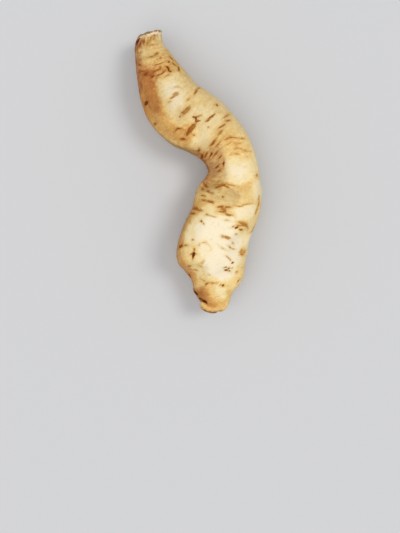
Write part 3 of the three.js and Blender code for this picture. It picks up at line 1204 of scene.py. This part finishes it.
@dataclass(frozen=True)
class ChanceMarks:
    """Dashes laid by seeded chance across the sides and the underside.

    Most are small: each has a random size, from which its length and width in millimetres
    follow. unlevel is how far they turn from square across the root. They keep to skin whose
    normal points up by less than most_up, and away from the cut by from_cut millimetres.
    """

    count: int = 110
    seed: int = 7
    size_shape: float = 2.2
    least_length: float = 1.4
    more_length: float = 1.5
    least_width: float = 0.8
    more_width: float = 0.28
    most_width: float = 2.6
    unlevel: float = 0.25
    most_up: float = 0.04
    from_cut: float = 4.0
    tones: tuple[Tone, ...] = (Tone.TAN, Tone.ORANGE, Tone.ORANGE, Tone.BROWN, Tone.DARK)

    def lay(self, skin: Skin) -> None:
        """Press the marks.

        Args:
            skin: The surface to mark.
        """
        chance = np.random.default_rng(self.seed)
        hidden = (skin.normals[:, 2] < self.most_up) & (skin.below_cut > self.from_cut)
        for at in chance.choice(np.flatnonzero(hidden), self.count, replace=False):
            size = chance.gamma(self.size_shape, 1.0)
            length = self.least_length + self.more_length * size
            width = min(self.least_width + self.more_width * size, self.most_width)
            tone = self.tones[chance.integers(len(self.tones))]
            forward, normal = skin.forward[at], skin.normals[at]
            tilted = unit(np.cross(forward, normal) + chance.normal(0, self.unlevel) * forward)
            long_way = unit(tilted - (tilted @ normal) * normal)
            skin.press(int(at), long_way, Mark(0, 0, length, width, 0, tone))


@dataclass
class SweetPotato:
    """The whole root: a thick S-shaped body, a cut neck and a curled tail.

    The neck is cut across cut_station. Its face is drawn in by cut_inset and sunk by cut_depth.
    shift is how far the finished mesh stands from its stations.
    """

    root: Growth = Growth("root_body", ROOT_STATIONS, rings=84, sides=40, start_tip=0.0, end_tip=0.13)
    tail: Growth = Growth("root_tail", TAIL_STATIONS, rings=26, sides=20, start_tip=0.2, end_tip=0.2)
    voxel: float = 0.73 * MM
    smoothing: int = 6
    cut_facing: Triple = (-0.28, 0.96, 0.08)
    cut_station: Station = ROOT_STATIONS[1]
    cut_inset: float = 1.3 * MM
    cut_depth: float = 0.9 * MM
    survey_steps: int = 1200
    chance_marks: ChanceMarks = ChanceMarks()
    piece: bpy.types.Object | None = None
    shift: np.ndarray = field(default_factory=lambda: np.zeros(3))

    def build(self) -> bpy.types.Object:
        """Model the root, join its tail to it and give it one even mesh.

        Returns:
            The finished piece, not yet dressed.
        """
        body = self.root.build()
        self.cut_neck(body)
        tail = self.tail.build()
        choose(body)
        tail.select_set(True)
        bpy.ops.object.join()
        body.data.remesh_voxel_size = self.voxel
        bpy.ops.object.voxel_remesh()
        bpy.ops.object.mode_set(mode="EDIT")
        bpy.ops.mesh.select_all(action="SELECT")
        bpy.ops.mesh.vertices_smooth(factor=0.5, repeat=self.smoothing)
        bpy.ops.object.mode_set(mode="OBJECT")
        body.name = "sweet_potato_root"
        body.data.name = "sweet_potato_root"
        self.piece = body
        self.centre_in_frame()
        self.sculpt()
        bpy.ops.object.shade_smooth()
        return body

    def cut_point(self) -> np.ndarray:
        """The middle of the neck's cut, in metres."""
        return np.array((self.cut_station.x, self.cut_station.y, self.cut_station.z)) * MM

    def cut_neck(self, body: bpy.types.Object) -> None:
        """Cut the neck off flat, draw the cut face in and sink it a little.

        Args:
            body: The root's body, whose neck end reaches past the cut.
        """
        facing = Vector(unit(self.cut_facing))
        choose(body)
        bpy.ops.object.mode_set(mode="EDIT")
        bpy.ops.mesh.select_all(action="SELECT")
        bpy.ops.mesh.bisect(
            plane_co=Vector(self.cut_point()), plane_no=facing, clear_outer=True, use_fill=True
        )
        bpy.ops.mesh.inset(thickness=self.cut_inset, depth=0)
        bpy.ops.transform.translate(value=-self.cut_depth * facing)
        bpy.ops.object.mode_set(mode="OBJECT")

    def centre_in_frame(self) -> None:
        """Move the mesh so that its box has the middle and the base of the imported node's box."""
        low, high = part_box(NODE)
        points = self.read_points()
        middle = (points.min(0) + points.max(0)) / 2
        wanted = (np.array(low) + np.array(high)) / 2
        self.shift = np.array((wanted[0] - middle[0], wanted[1] - middle[1], low[2]))
        self.piece.data.transform(Matrix.Translation(self.shift))

    def read_points(self) -> np.ndarray:
        """The piece's vertices, one row each, in metres."""
        return self.read_vertices("co")

    def read_vertices(self, key: str) -> np.ndarray:
        """Read one of the vertices' vectors.

        Args:
            key: Its name in Blender: "co" or "normal".

        Returns:
            One row of three for each vertex.
        """
        flat = np.empty(len(self.piece.data.vertices) * 3)
        self.piece.data.vertices.foreach_get(key, flat)
        return flat.reshape(-1, 3)

    def write_points(self, points: np.ndarray) -> None:
        """Put the piece's vertices at these places."""
        self.piece.data.vertices.foreach_set("co", points.ravel())
        self.piece.data.update()

    def survey(self) -> Skin:
        """Find each vertex's place along the root and round it.

        Returns:
            The skin as numbers.
        """
        places = np.linspace(0, 1, self.survey_steps)
        centres, _, headings = self.root.read(places)
        centres = centres + self.shift
        steps = np.linalg.norm(np.diff(centres, axis=0), axis=1)
        lengths = np.concatenate(((0.0,), np.cumsum(steps)))
        tree = KDTree(len(centres))
        for index, centre in enumerate(centres):
            tree.insert(centre, index)
        tree.balance()
        points = self.read_points()
        nearest = np.fromiter((tree.find(p)[1] for p in points), int, len(points))
        forward = np.column_stack((np.cos(headings), np.sin(headings), np.zeros(len(places))))
        across = np.cross(UP, forward)[nearest]
        offset = points - centres[nearest]
        forward = forward[nearest]
        sideways, upwards = (offset * across).sum(1), offset[:, 2]
        return Skin(
            points=points,
            normals=self.read_vertices("normal"),
            along=lengths[nearest] + (offset * forward).sum(1),
            angle=np.arctan2(upwards, sideways),
            radius=np.hypot(sideways, upwards),
            forward=forward,
            below_cut=(self.cut_point() + self.shift - points) @ unit(self.cut_facing) / MM,
        )

    def sculpt(self) -> None:
        """Work the skin's shape, then lay down what its material reads."""
        skin = self.survey()
        for facet in FACETS:
            skin.flatten(facet)
        self.write_points(skin.points)
        self.swell(self.survey())
        skin = self.survey()
        self.roughen(skin)
        self.mark(skin)
        moved = skin.points + skin.normals * skin.height[:, None]
        moved[:, 2] = np.maximum(moved[:, 2], 0)
        self.write_points(moved)
        self.colour(skin)

    def swell(self, skin: Skin) -> None:
        """Break the plain sweep with broad uneven swellings and the named lumps.

        Args:
            skin: The surface to push in and out along its normals.
        """
        skin.height += MM * BROAD_SWELLS.read(skin.straight)
        skin.height += MM * SMALL_SWELLS.read(skin.straight)
        four_sided = CORNERS * MM * (1 - np.cos(4 * skin.angle))
        skin.height += four_sided * smoothstep(skin.below_cut, *CORNERS_FADE)
        for lump in LUMPS:
            skin.swell(lump)
        self.write_points(skin.points + skin.normals * skin.height[:, None])

    def roughen(self, skin: Skin) -> None:
        """Add the fine relief: small bumps, rings across the root and the neck's ragged rim.

        Args:
            skin: The surface whose height is changed.
        """
        straight = skin.straight
        skin.height += MM * BUMPS.read(straight)
        skin.height += MM * FINE_BUMPS.read(straight)
        skin.height += MM * RINGS.read(straight) * skin.ruffled(RUFFLES)
        neck = 1 - smoothstep(skin.below_cut, *FIBRE_FADE)
        skin.height += MM * NECK_FIBRES.read(straight) * neck
        rim = 1 - smoothstep(skin.below_cut, *TORN_FADE)
        torn = MM * TORN_RIM.read(straight) * rim
        skin.points += torn[:, None] * unit(self.cut_facing)

    def mark(self, skin: Skin) -> None:
        """Press the marks and lines of the upper side, then chance marks where none is seen.

        Args:
            skin: The surface to mark.
        """
        for mark in MARKS:
            skin.press_seen(mark)
        for line in LINES:
            skin.draw(line)
        self.chance_marks.lay(skin)

    def colour(self, skin: Skin) -> None:
        """Lay the pigments and the marks as attributes of the mesh.

        Args:
            skin: The surface whose fields are stored.
        """
        islands = smoothstep(ISLANDS.read(skin.straight), *ISLAND_FADE)
        flanks = smoothstep(FLANKS.read(skin.straight), *FLANK_FADE)
        # Painted shade: steep edges darken, most on the left side away from the key lamp and less on
        # the underside.
        steep = 1 - smoothstep(skin.normals[:, 2], *STEEP_FADE)
        left = 1 - smoothstep(skin.normals[:, 0], *LEFT_FADE)
        edge = steep * (RIGHT_SHARE + (1 - RIGHT_SHARE) * left)
        edge *= UNDER_SHARE + (1 - UNDER_SHARE) * skin.upper
        for pigment, layer in LAYERS.items():
            hidden = layer.hidden + layer.islands * islands + layer.flanks * flanks
            ground = hidden + (layer.upper - hidden) * skin.upper
            self.store(pigment.value, skin.tint(layer.patches, ground) + layer.edge * edge)
        out = skin.normals @ unit(self.cut_facing)
        on_cut = (out > OUT_OF_CUT) & (skin.below_cut < CUT_LAYER)
        self.store("mark", skin.depth)
        self.store("mark_tone", skin.tone)
        self.store("rings", skin.ruffled(RUFFLES))
        self.store("below_cut", skin.below_cut)
        self.store("cut_face", on_cut.astype(float))
        self.store("straight", skin.straight)

    def store(self, name: str, values: np.ndarray) -> None:
        """Give the mesh one attribute.

        Args:
            name: The attribute's name.
            values: One number or one row of three for each vertex.
        """
        kind, key = ("FLOAT_VECTOR", "vector") if values.ndim == 2 else ("FLOAT", "value")
        attribute = self.piece.data.attributes.new(name, kind, "POINT")
        attribute.data.foreach_set(key, values.astype(np.float32).ravel())

    def dress(self, finish: "SkinFinish") -> None:
        """Give the piece its skin and tie it to the frame.

        Args:
            finish: The skin that it wears.
        """
        self.piece.data.materials.append(finish.material())
        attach(self.piece, BODY)
        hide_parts(NODE)


# ---------------------------------------------------------------------------------------------
# Materials
# ---------------------------------------------------------------------------------------------


class Socket:
    """A shader value with Python's arithmetic: each operation adds a Math node."""

    def __init__(self, graph: "Graph", link: bpy.types.NodeSocket) -> None:
        """Wrap an output socket of a graph."""
        self.graph = graph
        self.link = link

    def math(self, operation: str, *others: "Socket | float", clamp: bool = False) -> "Socket":
        """Add a Math node with this value first.

        Args:
            operation: The Math node's operation.
            others: Its other inputs, values or numbers.
            clamp: Whether the result is kept between 0 and 1.

        Returns:
            The node's value.
        """
        values = dict(enumerate((self, *others)))
        settings = {"operation": operation, "use_clamp": clamp}
        return self.graph.node("ShaderNodeMath", settings, values)

    def __add__(self, other: "Socket | float") -> "Socket":
        """self + other."""
        return self.math("ADD", other)

    def __sub__(self, other: "Socket | float") -> "Socket":
        """self - other."""
        return self.math("SUBTRACT", other)

    def __rsub__(self, other: float) -> "Socket":
        """other - self."""
        return (self * -1.0) + other

    def __mul__(self, other: "Socket | float") -> "Socket":
        """self * other."""
        return self.math("MULTIPLY", other)

    def __truediv__(self, other: "Socket | float") -> "Socket":
        """self / other."""
        return self.math("DIVIDE", other)

    __radd__ = __add__
    __rmul__ = __mul__

    def rise(self, low: float, high: float) -> "Socket":
        """A smooth step of this value: 0 up to low, 1 from high.

        Args:
            low: Where the step starts.
            high: Where it ends.

        Returns:
            The step, from 0 to 1.
        """
        settings = {"interpolation_type": "SMOOTHSTEP", "clamp": True}
        values = {"Value": self, "From Min": low, "From Max": high}
        return self.graph.node("ShaderNodeMapRange", settings, values)


class Graph:
    """The nodes of a material or a world, made one call at a time."""

    def __init__(self, owner: bpy.types.Material | bpy.types.World) -> None:
        """Start with no nodes.

        Args:
            owner: The material or world that holds them.
        """
        owner.use_nodes = True
        self.tree = owner.node_tree
        self.tree.nodes.clear()

    def add(
        self,
        kind: str,
        settings: dict[str, object] | None = None,
        values: dict[str | int, object] | None = None,
    ) -> bpy.types.Node:
        """Add one node.

        Args:
            kind: The node's type.
            settings: Its properties, set before its sockets. A "stops" entry fills a ramp.
            values: Numbers, colours or sockets for its inputs, by name or place.

        Returns:
            The node.
        """
        made = self.tree.nodes.new(kind)
        for key, value in (settings or {}).items():
            if key == "stops":
                self.fill_ramp(made.color_ramp, value)
            else:
                setattr(made, key, value)
        for key, value in (values or {}).items():
            if isinstance(value, Socket):
                self.tree.links.new(value.link, made.inputs[key])
            else:
                made.inputs[key].default_value = value
        return made

    def node(
        self,
        kind: str,
        settings: dict[str, object] | None = None,
        values: dict[str | int, object] | None = None,
        output: str | int = 0,
    ) -> Socket:
        """Add one node and read one of its outputs.

        Args:
            kind: The node's type.
            settings: Its properties.
            values: Its inputs.
            output: The output to read.

        Returns:
            That output.
        """
        return Socket(self, self.add(kind, settings, values).outputs[output])

    @staticmethod
    def fill_ramp(ramp: bpy.types.ColorRamp, stops: list[tuple[float, Colour]]) -> None:
        """Give a ramp its stops.

        Args:
            ramp: The ramp.
            stops: Places from 0 to 1, each with its linear colour.
        """
        while len(ramp.elements) < len(stops):
            ramp.elements.new(1.0)
        for element, (place, colour) in zip(ramp.elements, stops):
            element.position = place
            element.color = opaque(colour)

    def attribute(self, name: str, output: str = "Fac") -> Socket:
        """Read one of the mesh's attributes."""
        return self.node("ShaderNodeAttribute", {"attribute_name": name}, output=output)

    def stretch(self, vector: Socket, scale: Triple) -> Socket:
        """A vector with each of its parts made larger."""
        values = {0: vector, 1: scale}
        return self.node("ShaderNodeVectorMath", {"operation": "MULTIPLY"}, values)

    def mottle(self, vector: Socket, size: float, detail: float = 3.0, rough: float = 0.55) -> Socket:
        """Noise from about -0.5 to 0.5 with blots of a given size.

        Args:
            vector: Where it is read, in metres.
            size: The blots' size in metres.
            detail: How many finer layers it has.
            rough: How strong they are.

        Returns:
            The noise.
        """
        values = {"Vector": vector, "Scale": 1 / size, "Detail": detail, "Roughness": rough}
        return self.node("ShaderNodeTexNoise", None, values, output="Fac") - 0.5

    def flecks(self, vector: Socket, size: float, share: float) -> Socket:
        """Small scattered flecks, one at most in each cell.

        Args:
            vector: Where they are read, in metres.
            size: The cells' size in metres.
            share: How many of the cells hold one, from 0 to 1.

        Returns:
            1 in a fleck and 0 outside it.
        """
        cells = self.add("ShaderNodeTexVoronoi", None, {"Vector": vector, "Scale": 1 / size})
        gap, chance = (Socket(self, cells.outputs[name]) for name in ("Distance", "Color"))
        pick = self.node("ShaderNodeSeparateColor", None, {"Color": chance}, output="Red")
        return (1.0 - gap.rise(0.14, 0.27)) * pick.rise(1 - share, 1.001 - share)

    def dye(self, amount: Socket, dye: "Dye", base: Colour) -> Socket:
        """The colour that an amount of pigment gives.

        Args:
            amount: The amount.
            dye: The pigment.
            base: The colour that it lies on.

        Returns:
            The colour.
        """
        settings = {"stops": dye.stops(base)}
        return self.node("ShaderNodeValToRGB", settings, {"Fac": amount / dye.most}, "Color")

    def blend(
        self, factor: Socket | float, first: Socket | Colour, second: Socket | Colour, how: str = "MIX"
    ) -> Socket:
        """Mix two colours.

        Args:
            factor: 0 for the first, 1 for the second.
            first: A colour or a socket.
            second: Another.
            how: The way that they are mixed.

        Returns:
            The mixed colour.
        """
        settings = {"data_type": "RGBA", "blend_type": how}
        first, second = (end if isinstance(end, Socket) else opaque(end) for end in (first, second))
        return self.node("ShaderNodeMix", settings, {0: factor, 6: first, 7: second}, output=2)

    def looked_at(self) -> Socket:
        """Tell what the camera sees, also in a reflection or through glass, from cast light.

        Returns:
            1 for what is seen and 0 for light.
        """
        seen = self.node("ShaderNodeLightPath", output="Is Camera Ray")
        for ray in ("Is Glossy Ray", "Is Transmission Ray"):
            seen = seen.math("MAXIMUM", self.node("ShaderNodeLightPath", output=ray))
        return seen


@dataclass(frozen=True)
class Dye:
    """A pigment: how fast each colour channel darkens with its amount, and with its square."""

    absorbs: Colour
    most: float
    deepens: Colour = (0.0, 0.0, 0.0)
    steps: int = 9

    def stops(self, base: Colour) -> list[tuple[float, Colour]]:
        """The colours of growing amounts of the pigment.

        Args:
            base: The colour that it lies on.

        Returns:
            Places from 0 to 1, each with its colour.
        """
        stops = []
        for step in range(self.steps):
            share = step / (self.steps - 1)
            amount = share * self.most
            colour = tuple(
                c * math.exp(-k * amount - q * amount**2)
                for c, k, q in zip(base, self.absorbs, self.deepens)
            )
            stops.append((share, colour))
        return stops


@dataclass(frozen=True)
class SkinFinish:
    """Sweet potato skin: bare cream, tinted golden and rusty, darkened with painted shade in places and
    scarred brown.

    torn is the neck's pale rim, and dried_dark and dried_pale the browns of its cut face, whose
    ring of veins scales with cut_radius.
    """

    name: str = "potato_skin"
    cream: Colour = (0.975, 0.868, 0.66)
    gold: Dye = Dye((0.06, 0.35, 1.66), 2.2, (0.225, 0.378, 0.0))
    dull: Dye = Dye((0.92, 1.02, 1.0), 2.4)
    rust: Dye = Dye((0.6, 1.0, 0.9), 2.4)
    scar: Dye = Dye((0.54, 0.95, 1.5), 4.4)
    torn: Colour = (0.86, 0.70, 0.52)
    dried_dark: Colour = (0.21, 0.12, 0.05)
    dried_pale: Colour = (0.64, 0.47, 0.25)
    cut_radius: float = 0.0075
    roughness: float = 0.55
    specular: float = 0.08
    bump_strength: float = 0.5
    bump_distance: float = 0.0006

    def material(self) -> bpy.types.Material:
        """Make the skin's material.

        Returns:
            The material.
        """
        material = bpy.data.materials.new(self.name)
        SkinShader(Graph(material), self).close()
        return material


class SkinShader:
    """The skin's nodes: the noises and masks that its layers share, and a method for each layer.

    Noises are read on the unbent root, so they follow its bends. "inside" is how many
    millimetres a point lies inside the nearest mark's edge.
    """

    def __init__(self, graph: Graph, finish: SkinFinish) -> None:
        """Make the shared noises and masks.

        Args:
            graph: The material's nodes.
            finish: The skin's colours.
        """
        self.graph = graph
        self.finish = finish
        self.place = graph.attribute("straight", "Vector")
        self.ringed = graph.stretch(self.place, (2.6, 1.0, 1.0))
        self.fibrous = graph.stretch(self.place, (0.15, 1.0, 1.0))
        tight = graph.stretch(self.place, (9.0, 0.8, 0.8))
        self.blots = graph.mottle(self.ringed, 0.008, 4, 0.6)
        self.spots = graph.mottle(self.ringed, 0.0024, 4, 0.65)
        self.rings = graph.mottle(tight, 0.013, 3, 0.55)
        self.fibres = graph.mottle(self.fibrous, 0.0022, 3, 0.6)
        self.worms = graph.mottle(self.fibrous, 0.0011, 4, 0.7)
        self.ringing = graph.attribute("rings")
        self.below_cut = graph.attribute("below_cut")
        wander = graph.mottle(self.ringed, 0.0028, 3, 0.6) + graph.mottle(self.ringed, 0.0012, 3, 0.7)
        inside = graph.attribute("mark") + wander * 1.4
        self.scar = inside.rise(-0.35, 0.45)
        self.halo = inside.rise(-1.6, 0.2)
        flakes = graph.mottle(self.ringed, 0.0014, 3, 0.7)
        self.worn = flakes * 1.9 + (1.06 - inside.rise(0.5, 1.4) * 0.2)
        self.face = graph.attribute("cut_face").rise(0.3, 0.7)
        across = graph.stretch(self.place, (0.0, 1.0, 1.0))
        out = graph.node("ShaderNodeVectorMath", {"operation": "LENGTH"}, {0: across}, "Value")
        self.ripple = out / finish.cut_radius + self.blots * 0.3
        self.vein = self.ripple.rise(0.50, 0.66) * (1.0 - self.ripple.rise(0.70, 0.84))

    def gold(self) -> Socket:
        """How golden the skin is: mottled, fibrous at the neck and a little richer round marks. Its
        laid amount also holds painted shade.

        Returns:
            The amount of the golden pigment.
        """
        laid = self.graph.attribute("gold")
        neck = 1.0 - self.below_cut.rise(7.0, 18.0)
        streaks = self.graph.mottle(self.graph.stretch(self.place, (0.3, 1.0, 1.0)), 0.005, 3, 0.5)
        uneven = (self.blots * 0.9 + self.spots * 1.15) * (1.0 - neck * 0.7)
        uneven = uneven + self.rings * self.ringing * 1.4 + self.fibres * neck * 4.4
        uneven = uneven + streaks * laid.rise(0.9, 1.3) * 0.9
        uneven = uneven * (1.0 - laid.rise(0.9, 1.4) * 0.45)
        return laid + uneven * laid.math("MINIMUM", 0.75) + self.spots * 0.16 + self.halo * 0.2

    def dull(self) -> Socket:
        """How much painted shade and dull tone the skin holds: mostly painted shade where laid, with
        faint clouds and specks all over.

        Returns:
            The amount of the darkening pigment.
        """
        laid = self.graph.attribute("dull")
        clouds = self.graph.mottle(self.place, 0.0034, 4, 0.6)
        specks = self.graph.mottle(self.place, 0.0013, 3, 0.7)
        laid = laid * (1.0 + self.blots * 0.8 + self.rings * 0.8)
        return laid + clouds * 0.24 + specks * 0.22 - 0.04

    def rust(self) -> Socket:
        """How rusty the skin is, blushing here and there and round marks; the laid amount also holds
        painted shade.

        Returns:
            The amount of the rusty pigment.
        """
        blush = self.graph.mottle(self.graph.stretch(self.place, (1.5, 1.0, 1.0)), 0.0042, 3, 0.6)
        laid = self.graph.attribute("rust") * (blush * 3.0 + 1.0)
        return laid + self.halo * 0.1 + blush.rise(0.02, 0.3) * 0.18

    def brown(self) -> Socket:
        """How brown the skin is: the marks, and fine dashes where it is a little golden.

        Returns:
            The amount of the scars' pigment.
        """
        gold = self.graph.attribute("gold")
        marks = self.graph.attribute("mark_tone") * self.scar * self.worn
        golden = gold.rise(0.1, 0.6) * (1.0 - gold.rise(0.85, 1.15))
        short = self.graph.flecks(self.ringed, 0.0034, 0.42)
        long = self.graph.flecks(self.ringed, 0.0052, 0.30)
        dashes = (short + long * 0.6) * golden
        return marks * 1.04 + dashes * (self.spots + 0.42)

    def tinted(self) -> Socket:
        """Lay the four pigments, three of which carry painted shade, over the bare cream.

        Returns:
            The skin's colour.
        """
        colour = self.graph.dye(self.gold(), self.finish.gold, self.finish.cream)
        layers = (
            (self.dull(), self.finish.dull),
            (self.rust(), self.finish.rust),
            (self.brown(), self.finish.scar),
        )
        for amount, dye in layers:
            tint = self.graph.dye(amount, dye, WHITE)
            colour = self.graph.blend(1.0, colour, tint, "MULTIPLY")
        return colour

    def cut(self, skin: Socket) -> Socket:
        """Lay the neck's pale torn rim and its dry brown edge and face over the skin.

        Args:
            skin: The skin's colour.

        Returns:
            The colour with the neck's cut.
        """
        below = self.below_cut + self.fibres * 5.0 + self.blots * 2.5
        rim = below.rise(1.6, 2.1) * (1.0 - below.rise(3.3, 4.5))
        torn = rim * (self.spots * 5.0 + self.blots * 8.0 + 0.6)
        skin = self.graph.blend(torn.math("ADD", 0.0, clamp=True), skin, self.finish.torn)
        edge = 1.0 - below.rise(1.2, 1.8)
        shade = self.worms * 1.6 + (0.62 - self.vein * 0.45) - self.ripple.rise(0.84, 1.0) * 0.3
        dry = self.graph.blend(shade.rise(0.0, 1.0), self.finish.dried_dark, self.finish.dried_pale)
        return self.graph.blend(edge.math("MAXIMUM", self.face), skin, dry)

    def relief(self) -> Socket:
        """The relief too fine for the mesh: pores, rings, flaking scars and the dry face.

        Returns:
            The normal that it gives.
        """
        pores = self.graph.mottle(self.ringed, 0.0016, 5, 0.65)
        height = pores * 0.6 + self.spots * 0.5 - self.scar * self.worn * 0.4
        height = height + self.rings * self.ringing * 0.6 + self.face * (self.worms * 2.0 - self.vein)
        strength, distance = self.finish.bump_strength, self.finish.bump_distance
        values = {"Height": height, "Strength": strength, "Distance": distance}
        return self.graph.node("ShaderNodeBump", None, values)

    def close(self) -> None:
        """Join the layers in one shader."""
        values = {
            "Base Color": self.cut(self.tinted()),
            "Roughness": self.scar * 0.2 + self.spots * 0.25 + self.finish.roughness,
            "Normal": self.relief(),
            "Specular IOR Level": self.finish.specular,
        }
        shader = self.graph.node("ShaderNodeBsdfPrincipled", None, values)
        self.graph.add("ShaderNodeOutputMaterial", None, {"Surface": shader})


@dataclass(frozen=True)
class FloorFinish:
    """A pale matt floor that throws little light back up at what lies on it."""

    name: str = "studio_floor"
    seen: Colour = PALE_GREY
    thrown: Colour = (0.38, 0.38, 0.38)
    roughness: float = 0.9

    def material(self) -> bpy.types.Material:
        """Make the floor's material.

        Returns:
            The material.
        """
        material = bpy.data.materials.new(self.name)
        graph = Graph(material)
        colour = graph.blend(graph.looked_at(), self.thrown, self.seen)
        values = {"Base Color": colour, "Roughness": self.roughness}
        shader = graph.node("ShaderNodeBsdfPrincipled", None, values)
        graph.add("ShaderNodeOutputMaterial", None, {"Surface": shader})
        return material


# ---------------------------------------------------------------------------------------------
# Studio
# ---------------------------------------------------------------------------------------------


@dataclass(frozen=True)
class Lamp:
    """A broad even light from one direction.

    level is how bright it makes a white surface that faces it, with 1 as white, and spread the
    width of its source as an angle in degrees.
    """

    name: str
    towards: Triple
    level: float
    spread: float
    colour: Colour = WHITE

    def place(self) -> None:
        """Put the lamp up."""
        data = bpy.data.lights.new(self.name, "SUN")
        data.energy = math.pi * self.level
        data.angle = math.radians(self.spread)
        data.color = self.colour
        lamp = bpy.data.objects.new(self.name, data)
        bpy.context.scene.collection.objects.link(lamp)
        lamp.rotation_euler = Vector(self.towards).to_track_quat("Z", "Y").to_euler()


@dataclass
class Studio:
    """A plain pale floor, soft lamps and a camera that looks straight down.

    fill is the level of the even light from all round. sheet_seen is how many millimetres of
    the viewpoint's sheet fit in the height of the picture.
    """

    floor_size: float = 40.0
    floor_finish: FloorFinish = FloorFinish()
    fill: float = 0.525
    backdrop: Colour = PALE_GREY
    lamps: tuple[Lamp, ...] = (
        Lamp("key_lamp", (0.56, 0.12, 0.82), 0.30, 24.0, (1.0, 0.99, 0.97)),
        Lamp("front_lamp", (-0.22, -0.40, 0.89), 0.24, 60.0),
        Lamp("left_lamp", (-0.85, -0.10, 0.50), 0.07, 60.0),
    )
    sheet_seen: float = 426.4
    sensor: float = 36.0

    def build(self) -> None:
        """Lay the floor, light it and set the camera."""
        bpy.context.scene.view_settings.view_transform = "Standard"
        self.lay_floor()
        self.paint_sky()
        for lamp in self.lamps:
            lamp.place()
        self.set_camera()

    def lay_floor(self) -> None:
        """Lay the plain floor that the root rests on."""
        deselect_all()
        bpy.ops.mesh.primitive_plane_add(size=self.floor_size)
        floor = bpy.context.object
        floor.name = "studio_floor"
        floor.data.materials.append(self.floor_finish.material())

    def paint_sky(self) -> None:
        """Give the world one even light, and a pale backdrop where it is looked at."""
        world = bpy.data.worlds.new("studio_sky")
        graph = Graph(world)
        even = {"Color": opaque(WHITE), "Strength": self.fill}
        light = graph.node("ShaderNodeBackground", None, even)
        backdrop = graph.node("ShaderNodeBackground", None, {"Color": opaque(self.backdrop)})
        mix = {"Fac": graph.looked_at(), 1: light, 2: backdrop}
        sky = graph.node("ShaderNodeMixShader", None, mix)
        graph.add("ShaderNodeOutputWorld", None, {"Surface": sky})
        bpy.context.scene.world = world

    def set_camera(self) -> None:
        """Set the camera at the viewpoint, looking straight down."""
        data = bpy.data.cameras.new("camera")
        data.sensor_width = self.sensor
        data.lens = self.sensor * (VIEW.height - VIEW.sheet) / self.sheet_seen
        camera = bpy.data.objects.new("camera", data)
        bpy.context.scene.collection.objects.link(camera)
        camera.location = (VIEW.x * MM, VIEW.y * MM, VIEW.height * MM)
        bpy.context.scene.camera = camera


def main() -> None:
    """Build the root and its studio."""
    potato = SweetPotato()
    piece = potato.build()
    log.info("%s: %d faces", piece.name, len(piece.data.polygons))
    potato.dress(SkinFinish())
    Studio().build()
    log.info("studio is ready")


if __name__ == "__main__":
    main()
